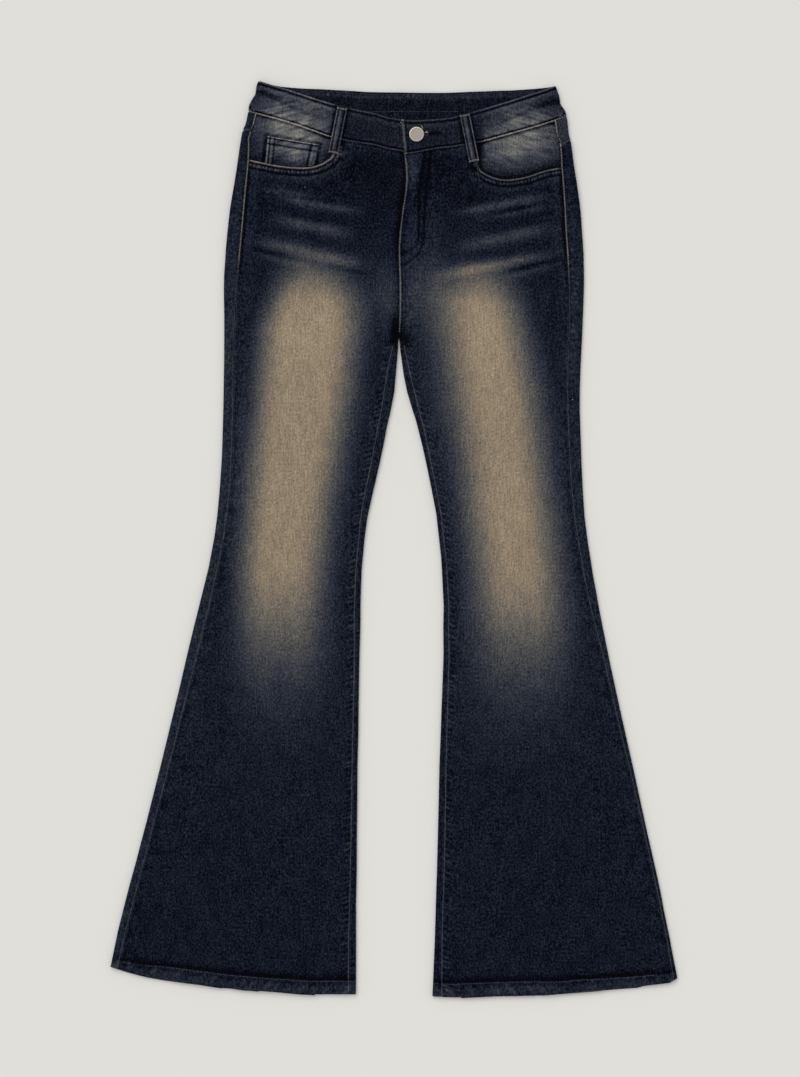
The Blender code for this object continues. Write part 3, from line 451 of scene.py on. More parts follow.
# How far the soft cloth lies from its solid's edges and seams, in millimetres towards +X: the outer edge of
# each leg, its side seam, the seam of its inner leg, and its inner edge.
Shift = namedtuple("Shift", "y right_edge right_side right_inseam right_inner"
                            " left_inner left_inseam left_side left_edge")
SHIFTS = [
    Shift(-0.524, 0.0, 2.0, -1.0, -1.0, 0.0, -1.5, 0.0, -0.3),
    Shift(-0.460, -0.3, 2.6, -1.4, -1.4, 1.0, -2.4, 0.0, -2.4),
    Shift(-0.420, 0.0, 3.4, -0.8, -2.0, 1.0, -2.0, 0.0, -2.5),
    Shift(-0.380, 0.7, 3.6, -0.5, -1.7, 1.1, -1.6, 0.3, -1.8),
    Shift(-0.340, 0.7, 3.8, -0.5, -2.2, 0.9, -1.5, 0.8, -1.6),
    Shift(-0.300, 0.8, 4.2, -0.6, -2.3, 0.6, -1.5, 1.0, -1.5),
    Shift(-0.260, 0.9, 4.4, -0.5, -2.6, 0.2, -1.5, 0.7, -1.3),
    Shift(-0.220, 1.1, 4.6, -0.3, -2.1, 0.4, -1.5, -0.3, -1.8),
    Shift(-0.180, 1.3, 4.7, 0.3, -2.3, 0.5, -1.5, -0.9, -2.3),
    Shift(-0.140, 0.8, 4.0, 0.5, -2.8, 0.6, -1.7, -1.2, -2.9),
    Shift(-0.100, 0.4, 2.6, 1.0, -3.0, 0.3, -2.4, -2.2, -2.7),
    Shift(-0.060, 0.4, 0.6, 1.6, -4.1, 1.2, -1.4, -3.0, -2.1),
    Shift(-0.020, 0.5, 0.5, 1.5, -5.0, 2.3, 0.2, -2.9, -2.1),
    Shift(0.020, 0.8, 0.9, 1.2, -6.0, 1.3, -0.5, -2.2, -2.6),
    Shift(0.060, 0.3, 1.5, 2.0, -5.3, 0.6, -1.6, -1.4, -2.6),
    Shift(0.100, 0.8, 2.2, 2.6, -4.4, 2.3, -1.6, -1.3, -2.9),
    Shift(0.140, 0.7, 2.7, 3.6, -3.0, 3.3, -1.0, -1.5, -3.0),
    Shift(0.180, 0.7, 2.9, 3.2, -1.8, 1.4, -0.5, -2.0, -3.7),
    Shift(0.220, 0.8, 1.6, 1.2, -0.3, 0.0, -0.9, -2.0, -4.5),
    Shift(0.260, 0.9, 0.8, -1.0, 0.0, 0.0, -1.0, -0.8, -4.5),
    Shift(0.300, 0.2, 0.9, -1.1, 0.0, 0.0, -1.1, -0.4, -3.8),
    Shift(0.340, 0.2, 1.7, -2.1, 0.0, 0.0, -2.1, -1.1, -3.5),
    Shift(0.380, 0.0, 1.9, -3.1, 0.0, 0.0, -3.1, -0.7, -2.7),
    Shift(0.420, -0.3, 1.2, -1.1, 0.0, 0.0, -1.1, 0.0, -1.2),
    Shift(0.455, 0.3, 1.0, -1.0, 0.0, 0.0, -1.0, 0.0, -0.6),
    Shift(0.475, 0.0, 0.8, -1.0, 0.0, 0.0, -1.0, 0.0, 0.0),
]
# How far the cloth's hems lie above their solids', in millimetres, by X.
HEM_RISE = {
    -1: [(-0.326, -3.0), (-0.320, -3.0), (-0.312, -3.0), (-0.300, -2.8), (-0.284, -1.0), (-0.268, 1.2),
         (-0.252, 2.4), (-0.228, 2.9), (-0.212, 3.3), (-0.196, 2.6), (-0.172, 2.4), (-0.156, 2.1),
         (-0.140, 1.6), (-0.124, 1.5), (-0.108, 0.4), (-0.092, 0.0), (-0.076, 0.6), (-0.050, 1.0)],
    1: [(0.050, 0.0), (0.070, -0.6), (0.082, 0.2), (0.098, 1.2), (0.122, 1.6), (0.146, 1.4), (0.162, 0.8),
        (0.174, -0.5), (0.194, -1.2), (0.210, -0.5), (0.234, -1.5), (0.258, -2.2), (0.274, -2.8),
        (0.294, -2.8), (0.306, -4.4), (0.316, -4.4), (0.324, -2.0)],
}


def shifted(line, name):
    """An edge moved sideways by a column of the table above."""
    return lambda y: line(y) + column(SHIFTS, name, y) / 1000


def raised(line, rises):
    """A hem's line moved up the leg by a table of heights."""
    return lambda x: line(x) + profile(rises, x) / 1000


SIDE_SEAM_PARTS = {side: (front_line(side, 1, HEM_Y, FRONT_PANEL_TOP[side], outermost(side)),
                          solids[f"pocket_facing_{SIDES[side]}"].line(1, 0.440, 0.490, outermost(side)))
                   for side in SIDES}
SOLID_INNER_SEAM = {side: front_line(side, 1, HEM_Y, FLY_TOP_Y, innermost(side)) for side in SIDES}
INNER_SEAM = {side: shifted(SOLID_INNER_SEAM[side], f"{name}_inseam") for side, name in SIDES.items()}
HEM_LINE = only(HEM_Y - 0.001, HEM_Y + 0.030, lowest_y)
FRONT_HEM = {side: raised(front_line(side, 0, -0.33, 0.33, HEM_LINE), HEM_RISE[side]) for side in SIDES}


def smooth_path(points, steps):
    """Points along a smooth curve through the given ones."""
    knots = np.array([points[0], *points, points[-1]])
    path = []
    for before, start, end, after in zip(knots, knots[1:], knots[2:], knots[3:]):
        for t in np.arange(steps) / steps:
            bend = 2 * before - 5 * start + 4 * end - after
            turn = 3 * start - before - 3 * end + after
            path.append(0.5 * (2 * start + (end - before) * t + bend * t ** 2 + turn * t ** 3))
    return [tuple(point) for point in path] + [tuple(knots[-1])]


SCOOP_PATH = {side: smooth_path(SCOOP[side], 12) for side in SIDES}


def front_top(side):
    """Upper edge of a front as a function of X: the waistband seam, and further out the pocket opening."""
    seam = front_line(side, 0, -0.19, 0.19, only(0.41, 0.47, highest_y))
    out = np.minimum.accumulate([side * x for x, _ in SCOOP_PATH[side]])[::-1]
    height = [y for _, y in SCOOP_PATH[side]][::-1]

    def line(x):
        on_seam = side * np.minimum(side * x, out[0] - CUT_STEP)
        return np.where(side * x < out[0], seam(on_seam), np.interp(side * x, out, height))

    return line


FRONT_TOP = {side: front_top(side) for side in SIDES}
LEG_EDGE = {side: shifted(back_line(side, 1, HEM_Y, 0.470, outermost(side)), f"{name}_edge")
            for side, name in SIDES.items()}
LEG_INNER_EDGE = {side: shifted(back_line(side, 1, HEM_Y, 0.470, innermost(side)), f"{name}_inner")
                  for side, name in SIDES.items()}
BACK_HEM = {side: raised(back_line(side, 0, -0.33, 0.33, HEM_LINE), HEM_RISE[side]) for side in SIDES}
ON_FLOOR = (-0.0010, 0.0024)        # heights of the outer faces underneath
IN_FRONT = (0.0026, 0.0100)         # and of what shows in front
BACK_TOP = {side: back_line(side, 0, -0.20, 0.20, only(0.41, 0.48, between(*ON_FLOOR, highest_y)))
            for side in SIDES}
STRIP_TOP = {side: back_line(side, 0, -0.20, 0.20, only(0.44, 0.48, between(*IN_FRONT, highest_y)))
             for side in SIDES}


def solid_side_seam(side, y):
    """X of the side seam of the solids."""
    on_leg, on_hip = SIDE_SEAM_PARTS[side]
    share = smooth((y - FRONT_PANEL_TOP[side] + 0.004) / 0.010)
    return lerp(on_leg(y), on_hip(y), share)


def side_seam(side, y):
    """X of the seam between a front and the strip of the back that shows beside it."""
    return solid_side_seam(side, y) + column(SHIFTS, f"{SIDES[side]}_side", y) / 1000


def row_y(level, low_line, high_line, high_y, ease=TOP_EASE):
    """Y of the rows of a leg: they follow the hem, run level along the leg, and end along the top edge."""
    from_hem = 1.0 - smooth((level - HEM_Y - HEM_DEPTH) / HEM_EASE)
    from_top = smooth((level - high_y + ease) / ease)
    return level + (low_line - HEM_Y) * from_hem + (high_line - high_y) * from_top


def leg_levels(high_y, fine_top):
    """Levels of a leg's rows, with close rows at the hem's edge and near the top."""
    edge = [HEM_Y, HEM_Y + 0.0004, HEM_Y + 0.0010]
    body = list(np.arange(HEM_Y + 0.0022, high_y - TOP_EASE, ROW_STEP))
    top = list(np.arange(high_y - TOP_EASE, high_y - 0.0014, fine_top))
    return np.array(edge + body + top + [high_y - 0.0010, high_y - 0.0004, high_y])


# ---- profiles across the seams: pairs of distance and amount ----------------------------------------
# Pale amounts are cloth rubbed pale on the seams' ridges and edges. Dark amounts are painted shade: in the
# grooves beside the seams and along the rows of stitches, and painted shadow under the edges that lie on top.
FRONT_AT_INSEAM = [(0.0, 0.04), (0.0005, 0.22), (0.0013, 0.18), (0.0020, -0.05), (0.0060, -0.05),
                   (0.0085, -0.02), (0.0110, 0.0)]
FRONT_AT_SIDE = [(0.0, -0.10), (0.0010, -0.12), (0.0022, -0.06), (0.0045, 0.05), (0.0100, 0.05),
                 (0.0140, 0.0)]
FRONT_AT_FLAT_SIDE = [(0.0, 0.16), (0.0008, 0.10), (0.0016, 0.0)]
FRONT_AT_FLY = [(0.0, 0.22), (0.0005, 0.36), (0.0018, 0.34), (0.0024, 0.0), (0.0030, -0.10), (0.0044, -0.05),
                (0.0070, 0.0)]
# painted shadow that the left front's lapped edge casts on the right front
FRONT_UNDER_FLY = [(0.0, -0.13), (0.0040, -0.11), (0.0070, -0.03), (0.0110, 0.0)]
SCOOP_EDGE = [(0.0, 0.34), (0.0005, 0.58), (0.0013, 0.54), (0.0019, 0.10), (0.0025, -0.12), (0.0032, -0.12),
              (0.0040, 0.02), (0.0049, 0.08), (0.0058, 0.05), (0.0068, -0.06), (0.0078, -0.13),
              (0.0087, -0.06), (0.0100, 0.12), (0.0114, 0.10), (0.0140, 0.05), (0.0200, 0.0)]
SCOOP_STRETCH = {-1: 1.13, 1: 1.0}  # how much wider the right pocket's rows are spaced
SCOOP_LIGHT = {-1: 1.0, 1: 0.70}    # the left pocket's edge has worn less pale
# painted shadow on the front just under the waistband, then a slightly paler strip
FRONT_AT_BAND = [(0.0, -0.04), (0.0030, 0.0), (0.0042, 0.08), (0.0060, 0.04), (0.0100, 0.02), (0.0160, 0.0)]
# painted shadow on the facings under the pocket's opening and under the waistband
FACING_AT_SCOOP = [(0.0, -0.20), (0.0015, -0.28), (0.0030, -0.28), (0.0042, -0.12), (0.0090, -0.05),
                   (0.0130, 0.0)]
FACING_AT_BAND = [(0.0, -0.20), (0.0028, -0.38), (0.0040, -0.16), (0.0052, 0.0)]
# painted shadow on the facing round the coin pocket
AROUND_COIN = [(0.0, -0.10), (0.0010, -0.24), (0.0024, -0.24), (0.0038, -0.05), (0.0060, 0.02), (0.0100, 0.0)]
# rubbed pale turned hem, and a painted shadow band just above its edge
HEM_EDGE = [(0.0, 0.08), (0.0012, 0.08), (0.0030, 0.06), (0.0085, 0.06), (0.0110, 0.01), (0.0130, 0.0),
            (0.0155, 0.02), (0.0162, -0.09), (0.0180, -0.12), (0.0210, -0.05), (0.0250, 0.0)]
HEM_STITCH_WEAR = [(0.0138, 0.0), (0.0146, 0.9), (0.0154, 1.0), (0.0161, 0.0)]
HEM_ROW = 0.0150            # the hem's row of stitches, from the edge
STRIP_AT_SEAM = [(0.0, 0.20), (0.0005, 0.44), (0.0011, 0.36), (0.0019, -0.04), (0.0034, -0.07), (0.0052, 0.0)]
STRIP_AT_INSEAM = [(0.0, 0.0), (0.0006, 0.05), (0.0012, 0.02), (0.0020, -0.04), (0.0040, 0.0)]

# How far the side seam's edge, and the fly's edge with the seam below it, have rubbed pale: Y and share. The
# same share sets how much painted shade lies beside these edges.
SIDE_SEAM_LIGHT = [(-0.524, 0.30), (0.150, 0.30), (0.200, 0.14), (0.290, 0.14), (0.335, 0.85), (0.524, 1.00)]
FLY_LIGHT = [(0.235, 0.10), (0.255, 0.65), (0.320, 0.85), (0.350, 0.75), (0.400, 0.60), (0.420, 1.00),
             (0.440, 0.80)]

PUCKER_REACH = [(0.0012, 0.0), (0.0022, 0.8), (0.0045, 1.0), (0.0075, 0.7), (0.0110, 0.0)]
STRIP_PUCKER_REACH = [(0.0015, 0.0), (0.0030, 1.0), (0.0090, 0.8), (0.0120, 0.0)]
SCOOP_PUCKER_REACH = [(0.0030, 0.0), (0.0038, 1.0), (0.0062, 1.0), (0.0070, 0.0)]
SCOOP_ROWS = (0.0027, 0.0078)       # two dark rows of stitches beside the pocket's opening
PUCKER_HEIGHT = 0.00055
PUCKER_WEAR = 0.22
SCOOP_TICK_WEAR = 0.40
PUCKER_SLANT = 0.35         # puckers rise towards the seam by this share of their reach
TICK_WIDTH = 0.0011
SCOOP_TICK_WIDTH = 0.0009
STRIP_TICK_WIDTH = 0.0016
STRIP_TICK_HEIGHT = 0.0004
STRIP_TICK_WEAR = 0.13
SIDE_DIMPLE_WIDTH = 0.0045
SIDE_DIMPLE_SLANT = 0.2
SIDE_DIMPLE_DEPTH = 0.00045
SIDE_DIMPLE_SHADE = 0.07
SIDE_DIMPLE_REACH = [(0.0010, 0.0), (0.0040, 1.0), (0.0080, 0.8), (0.0130, 0.0)]
HEM_ROPE_HEIGHT = 0.0007
HEM_ROPE_WIDTH = 0.0036
HEM_ROPE_WEAR = 0.16
HEM_DASH_WIDTH = 0.0013
HEM_DASH_WEAR = 0.20
HEM_ROPE_SLANT = 0.8
HEM_ROPE_REACH = [(0.0, 0.6), (0.0030, 1.0), (0.0110, 0.9), (0.0150, 0.3), (0.0175, 0.5), (0.0280, 0.0)]

FRONT_CREASES = [           # soft ridges and hollows; amount is the height
    Streak(-0.170, 0.372, -0.040, 0.350, 0.010, 0.00035),
    Streak(-0.185, 0.345, -0.030, 0.315, 0.009, 0.00045),
    Streak(-0.150, 0.398, -0.030, 0.380, 0.011, 0.00030),
    Streak(-0.130, 0.325, -0.030, 0.302, 0.008, -0.00035),
    Streak(0.045, 0.372, 0.175, 0.402, 0.010, 0.00040),
    Streak(0.040, 0.345, 0.172, 0.372, 0.012, -0.00030),
    Streak(0.050, 0.330, 0.180, 0.362, 0.010, 0.00040),
    Streak(0.020, 0.298, 0.180, 0.334, 0.009, 0.00045),
    Streak(-0.020, 0.270, -0.070, 0.150, 0.012, -0.00035),
    Streak(0.008, 0.268, 0.045, 0.130, 0.012, -0.00030),
    Streak(-0.190, 0.150, -0.196, -0.060, 0.016, 0.00035),
    Streak(0.196, 0.140, 0.206, -0.050, 0.016, 0.00030),
    Streak(-0.090, -0.020, -0.130, -0.170, 0.020, -0.00030),
    Streak(0.120, -0.060, 0.150, -0.210, 0.020, -0.00030),
    Streak(-0.200, -0.150, -0.255, -0.420, 0.022, 0.00045),
    Streak(-0.120, -0.220, -0.135, -0.500, 0.024, 0.00040),
    Streak(-0.175, -0.330, -0.200, -0.515, 0.016, -0.00040),
    Streak(0.205, -0.170, 0.262, -0.450, 0.022, 0.00045),
    Streak(0.115, -0.240, 0.120, -0.500, 0.026, 0.00035),
    Streak(0.175, -0.350, 0.190, -0.515, 0.016, -0.00040),
]
BACK_CREASES = [            # on the underside, where the cloth arches off the floor
    Streak(-0.170, 0.300, -0.050, 0.250, 0.014, 0.0006),
    Streak(0.040, 0.255, 0.180, 0.300, 0.014, 0.0006),
    Streak(-0.150, 0.225, -0.040, 0.190, 0.012, 0.0005),
    Streak(0.035, 0.195, 0.170, 0.240, 0.012, 0.0005),
    Streak(-0.180, 0.020, -0.070, -0.010, 0.014, 0.0006),
    Streak(-0.170, -0.030, -0.080, -0.060, 0.012, 0.0005),
    Streak(0.070, -0.005, 0.190, 0.030, 0.014, 0.0006),
    Streak(0.085, -0.060, 0.185, -0.025, 0.012, 0.0005),
    Streak(-0.190, -0.200, -0.240, -0.460, 0.024, 0.0007),
    Streak(-0.110, -0.260, -0.120, -0.500, 0.022, 0.0006),
    Streak(0.200, -0.190, 0.250, -0.450, 0.024, 0.0007),
    Streak(0.120, -0.250, 0.125, -0.500, 0.022, 0.0006),
]


def thigh_fade(x, y):
    """Amount of the long pale fade on each thigh."""
    total = np.zeros(np.shape(x))
    strength = column(THIGH_FADES, "strength", y)
    for low, high in (("right_out", "right_in"), ("left_in", "left_out")):
        past_start = (x - column(THIGH_FADES, low, y)) / (2 * FADE_SOFTNESS[low])
        before_end = (column(THIGH_FADES, high, y) - x) / (2 * FADE_SOFTNESS[high])
        total += strength * smooth(0.5 + past_start) * smooth(0.5 + before_end)
    return total


def waist_fade(x, y):
    """Amount of the faded patches at both ends of the waist, which stop at the front belt loops."""
    amount = spot_field(WAIST_SPOTS, x, y)
    end = np.where(x < 0, WAIST_FADE_END[-1][0], WAIST_FADE_END[1][0])
    blend = np.where(x < 0, WAIST_FADE_END[-1][1], WAIST_FADE_END[1][1])
    return amount * smooth((np.abs(x) - end) / blend + 0.5)


def front_wash(x, y):
    """Brightness of the fronts before seams and puckers are added."""
    return profile(GROUND, y) + thigh_fade(x, y) + streak_field(WHISKERS, x, y) \
        + spot_field(FRONT_SPOTS, x, y)


def distance_to(path, x, y):
    """Distance in plan from points to a path, and how far along the path the nearest place is."""
    best = np.full(np.shape(x), 9.0)
    along = np.zeros(np.shape(x))
    walked = 0.0
    for (x0, y0), (x1, y1) in zip(path, path[1:]):
        length = math.hypot(x1 - x0, y1 - y0)
        t = np.clip(((x - x0) * (x1 - x0) + (y - y0) * (y1 - y0)) / length ** 2, 0.0, 1.0)
        away = np.hypot(x - x0 - t * (x1 - x0), y - y0 - t * (y1 - y0))
        nearer = away < best
        best = np.where(nearer, away, best)
        along = np.where(nearer, walked + t * length, along)
        walked += length
    return best, along


# ---- the fronts -------------------------------------------------------------------------------------
FAR = 1.0                   # a distance past the end of every profile
HIP_Y = 0.36                # the pockets' openings lie above this
CALM_BESIDE_SEAM = 0.012    # the soft creases fade out over this distance from a seam
FLY_LAP = 0.004             # how far the left front laps over the right one


def front_columns(width, to_scoop):
    """Distances of a front's columns from the side seam, for each row's width.

    to_scoop is how far from the fly the pocket's opening turns up to the waistband.
    """
    outer = [np.full_like(width, d) for d in SEAM_COLUMNS]
    start = SEAM_COLUMNS[-1]
    end = to_scoop + SCOOP_COLUMNS[0]
    middle = [lerp(start, width - end, k / OUTER_COLUMNS) for k in range(1, OUTER_COLUMNS)]
    pocket = [width - to_scoop - d for d in SCOOP_COLUMNS]
    last = to_scoop + SCOOP_COLUMNS[-1]
    inner = [width - lerp(last, FLY_COLUMNS[0], k / INNER_COLUMNS) for k in range(1, INNER_COLUMNS)]
    fly = [width - d for d in (*FLY_COLUMNS, *reversed(SEAM_COLUMNS))]
    return np.stack(outer + middle + pocket + inner + fly, axis=-1)


def front_plan(side):
    """X and Y of a front's grid, and each point's distance from its side seam and its inner edge."""
    levels = leg_levels(FRONT_TOP_Y, 0.0008)
    to_scoop = abs(SCOOP[side][-1][0] - float(INNER_SEAM[side](FLY_TOP_Y)))
    y = np.repeat(levels[:, None], front_columns(np.zeros(1), to_scoop).shape[-1], axis=1)
    for _ in range(5):
        outer, inner = side_seam(side, y), INNER_SEAM[side](y)
        width = np.abs(outer - inner)
        from_side = np.stack([front_columns(width[:, k], to_scoop)[:, k] for k in range(y.shape[1])], axis=1)
        x = outer - side * from_side
        y = row_y(levels[:, None], FRONT_HEM[side](x), FRONT_TOP[side](x), FRONT_TOP_Y)
    return x, y, from_side, width - from_side


INSEAM_TICKS = {side: Ticks(40 + side, HEM_Y, CROTCH_Y, 0.0060) for side in SIDES}
SIDE_DIMPLES = {side: Ticks(50 + side, HEM_Y, 0.05, 0.0260, 0.25) for side in SIDES}
SCOOP_TICKS = {side: Ticks(60 + side, 0.0, 0.2, 0.0034) for side in SIDES}
HEM_ROPES = {side: Ticks(70 + side, -0.40, 0.40, 0.0125, 0.40) for side in SIDES}
HEM_DASHES = {side: Ticks(75 + side, -0.40, 0.40, 0.0044, 0.20, 0.2) for side in SIDES}
STRIP_TICKS = {side: Ticks(80 + side, 0.19, 0.42, 0.0066) for side in SIDES}
STRIP_TICK_STRENGTH = {-1: 0.25, 1: 1.0}
FLY_DASHES = Ticks(95, 0.23, 0.46, 0.0042, 0.25, 0.3)

FLY_ROWS = {                # the two curved rows of stitches that hold the fly, from the waist down
    "outer": [(0.0266, 0.4490), (0.0220, 0.4005), (0.0211, 0.3913), (0.0199, 0.3648), (0.0188, 0.3418),
              (0.0135, 0.3290), (0.0015, 0.3185), (-0.0056, 0.3160)],
    "inner": [(0.0196, 0.4490), (0.0136, 0.4003), (0.0138, 0.3647), (0.0127, 0.3417), (0.0074, 0.3347),
              (-0.0018, 0.3299), (-0.0056, 0.3285)],
}
FLY_ROW_PATHS = {name: smooth_path(points, 8) for name, points in FLY_ROWS.items()}
FLY_SHADE = [(0.0232, 0.4450), (0.0180, 0.4000), (0.0172, 0.3650), (0.0160, 0.3440)]    # between the rows
FLY_LOW_Y = 0.326           # below the fly's rows, two more run down beside the seam
CENTRE_ROWS = (0.0031, 0.0068)
ROW_SHADES = {              # how dark the cloth is along each kind of row, and over what half width
    "fly": (0.16, 0.0012),
    "between": (0.03, 0.0040),
    "centre": (0.06, 0.0011),
}
CROTCH_SHADES = [          # painted shade where the seams bunch up, where the legs part
    Spot(-0.0095, 0.2380, 0.0050, 0.0130, -0.16),
    Spot(0.0000, 0.2300, 0.0080, 0.0090, -0.12),
]


def row_shade(kind, away):
    """Darkness beside a row of stitches at a distance from it."""
    depth, width = ROW_SHADES[kind]
    return depth * np.exp(-(away / width) ** 2)


def fly_wear_and_shade(x, y, from_inner):
    """Pale fly edge with painted shadow beside it, and painted shade along and between its rows and the
    double row below.
    """
    dashes = 0.75 + 0.25 * FLY_DASHES.at(y + from_inner, 0.0014)
    wear_and_shading = profile(FRONT_AT_FLY, from_inner) * profile(FLY_LIGHT, y) * dashes
    for path in FLY_ROW_PATHS.values():
        wear_and_shading -= row_shade("fly", distance_to(path, x, y)[0])
    wear_and_shading -= row_shade("between", distance_to(FLY_SHADE, x, y)[0])
    below_fly = smooth((FLY_LOW_Y - y) / 0.006)
    for row in CENTRE_ROWS:
        wear_and_shading -= row_shade("centre", from_inner - row) * below_fly
    return wear_and_shading


def hem_field(side, x, above_hem):
    """Slanting ropes of a turned-up hem, from 0 to 1."""
    along = x + side * above_hem * HEM_ROPE_SLANT
    return HEM_ROPES[side].at(along, HEM_ROPE_WIDTH) * profile(HEM_ROPE_REACH, above_hem)


def hem_wear_and_shade(side, x, above_hem, ropes):
    """Rubbed ropes and stitch dashes of a hem, and its pale turned edge with a painted shadow band just above
    it.
    """
    dashes = profile(HEM_STITCH_WEAR, above_hem) * HEM_DASHES[side].at(x, HEM_DASH_WIDTH)
    on_hem = smooth((HEM_ROW + 0.0005 - above_hem) / 0.002)
    return profile(HEM_EDGE, above_hem) + HEM_DASH_WEAR * dashes + (HEM_ROPE_WEAR * ropes - 0.03) * on_hem


def make_front(side):
    """Shell of a front leg panel."""
    node = f"front_leg_{SIDES[side]}"
    x, y, from_side, from_inner = front_plan(side)
    inner_limit, outer_limit = side * SOLID_INNER_SEAM[side](y), side * solid_side_seam(side, y)
    inside_x = side * np.clip(side * x, inner_limit + EDGE_INSET, outer_limit - EDGE_INSET)
    inside_y = np.clip(y, FRONT_HEM[side](inside_x) + EDGE_INSET, FRONT_TOP[side](inside_x) - EDGE_INSET)
    z = solids[node].height(inside_x, inside_y)
    above_hem = y - FRONT_HEM[side](x)
    below_top = np.where(y > FRONT_TOP_Y - TOP_EASE, FRONT_TOP[side](x) - y, FAR)
    from_scoop, scoop_along = distance_to(SCOOP_PATH[side], x, y)
    from_scoop = np.where(y > HIP_Y, from_scoop / SCOOP_STRETCH[side], FAR)
    below_crotch = smooth((CROTCH_Y - 0.004 - y) / 0.010)

    inseam = INSEAM_TICKS[side].at(y + from_inner * PUCKER_SLANT, TICK_WIDTH)
    inseam_puckers = inseam * profile(PUCKER_REACH, from_inner) * below_crotch
    dimples = SIDE_DIMPLES[side].at(y - from_side * SIDE_DIMPLE_SLANT, SIDE_DIMPLE_WIDTH)
    dimples = dimples * profile(SIDE_DIMPLE_REACH, from_side)
    scoop_puckers = SCOOP_TICKS[side].at(scoop_along, SCOOP_TICK_WIDTH)
    scoop_puckers = scoop_puckers * profile(SCOOP_PUCKER_REACH, from_scoop)
    ropes = hem_field(side, x, above_hem)

    relief = streak_field(FRONT_CREASES, x, y) + 0.00018 * mottle(x, y, 0.045, 3.0)
    relief *= smooth(np.minimum(from_side, from_scoop) / CALM_BESIDE_SEAM)
    relief += PUCKER_HEIGHT * (inseam_puckers + 0.7 * scoop_puckers)
    relief -= SIDE_DIMPLE_DEPTH * dimples
    relief += HEM_ROPE_HEIGHT * (ropes - 0.35 * profile(HEM_ROPE_REACH, above_hem))
    wall = np.where(above_hem < HEM_DEPTH, HEM_WALL, CLOTH)

    # at the side seam: a rubbed pale edge where the seam lies flat, painted shade beside it where the strip
    # lies over
    seam_light = profile(SIDE_SEAM_LIGHT, y)
    wear_and_shading = lerp(profile(FRONT_AT_FLAT_SIDE, from_side), profile(FRONT_AT_SIDE, from_side), seam_light)
    wear_and_shading += profile(FRONT_AT_BAND, below_top) * (from_scoop > CALM_BESIDE_SEAM)
    wear_and_shading += PUCKER_WEAR * inseam_puckers - SIDE_DIMPLE_SHADE * dimples
    wear_and_shading += SCOOP_TICK_WEAR * SCOOP_LIGHT[side] * scoop_puckers
    wear_and_shading += profile(FRONT_AT_INSEAM, from_inner) * below_crotch + spot_field(CROTCH_SHADES, x, y)
    if side > 0:
        wear_and_shading += fly_wear_and_shade(x, y, from_inner) * (1.0 - below_crotch)
    else:
        wear_and_shading += profile(FRONT_UNDER_FLY, from_inner - FLY_LAP) * (1.0 - below_crotch)
    # the opening's edge rubbed pale, scaled for each side, with painted shade in the grooves of its two rows
    # of stitches
    scoop = profile(SCOOP_EDGE, from_scoop) * smooth((from_inner - 0.03) / 0.01)
    wear_and_shading += np.where(scoop > 0.0, scoop * SCOOP_LIGHT[side], scoop)
    wear_and_shading += hem_wear_and_shade(side, x, above_hem, ropes)
    edge = nearest(from_side, from_inner, above_hem, np.maximum(below_top, 0.0))
    return cloth_shell(node, (x, y, z + relief), wall, -side, edge, front_wash(x, y), wear_and_shading)


# ---- the backs: each runs from its side seam in front, round the side, to the inner leg -------------
STRIP_REACH = (0.0, 0.20, 0.42, 0.62, 0.75, 0.84, 0.90, 0.94, 0.97, 1.0)   # from the fold to the seam
FOLD_STEPS = 8
BACK_COLUMNS = 26
BACK_TOP_EASE = 0.1300
FOLD_HEIGHT_REACH = 0.0120
STRIP_WASH = {-1: 0.062, 1: 0.030}  # the strips beside the fronts have worn a little paler
BACK_WASH_SPOTS = [         # the seat, the thighs and the knees have worn paler behind, too
    Spot(-0.100, 0.300, 0.055, 0.060, 0.26),
    Spot(0.105, 0.300, 0.055, 0.060, 0.26),
    Spot(-0.112, 0.140, 0.042, 0.110, 0.30),
    Spot(0.114, 0.140, 0.044, 0.110, 0.30),
    Spot(-0.125, -0.030, 0.040, 0.110, 0.16),
    Spot(0.130, -0.030, 0.042, 0.110, 0.16),
    Spot(-0.140, -0.480, 0.060, 0.030, 0.10),
    Spot(0.145, -0.480, 0.060, 0.030, 0.10),
]
KNEE_LINES = [              # pale lines where the cloth has creased behind the knees
    Streak(-0.175, 0.030, -0.070, 0.000, 0.0060, 0.12),
    Streak(-0.170, -0.020, -0.080, -0.050, 0.0050, 0.10),
    Streak(-0.165, 0.075, -0.070, 0.060, 0.0050, 0.08),
    Streak(0.070, -0.004, 0.185, 0.032, 0.0060, 0.12),
    Streak(0.085, -0.056, 0.180, -0.022, 0.0050, 0.10),
    Streak(0.070, 0.058, 0.175, 0.078, 0.0050, 0.08),
    Streak(-0.165, 0.262, -0.050, 0.226, 0.0050, 0.10),
    Streak(0.040, 0.228, 0.170, 0.268, 0.0050, 0.10),
]


def fold_heights(side, low, high, at_outside):
    """Height of a back's rolled edge, as a function of Y."""
    def measure(points):
        out = side * points[:, 0] * (1 if at_outside else -1)
        return points[out > out.max() - FOLD_HEIGHT_REACH][:, 2].max()

    return back_line(side, 1, low, high, measure)


FOLD_HEIGHT = {side: fold_heights(side, HEM_Y, 0.455, True) for side in SIDES}
INNER_FOLD_HEIGHT = {side: fold_heights(side, HEM_Y, CROTCH_Y - 0.020, False) for side in SIDES}


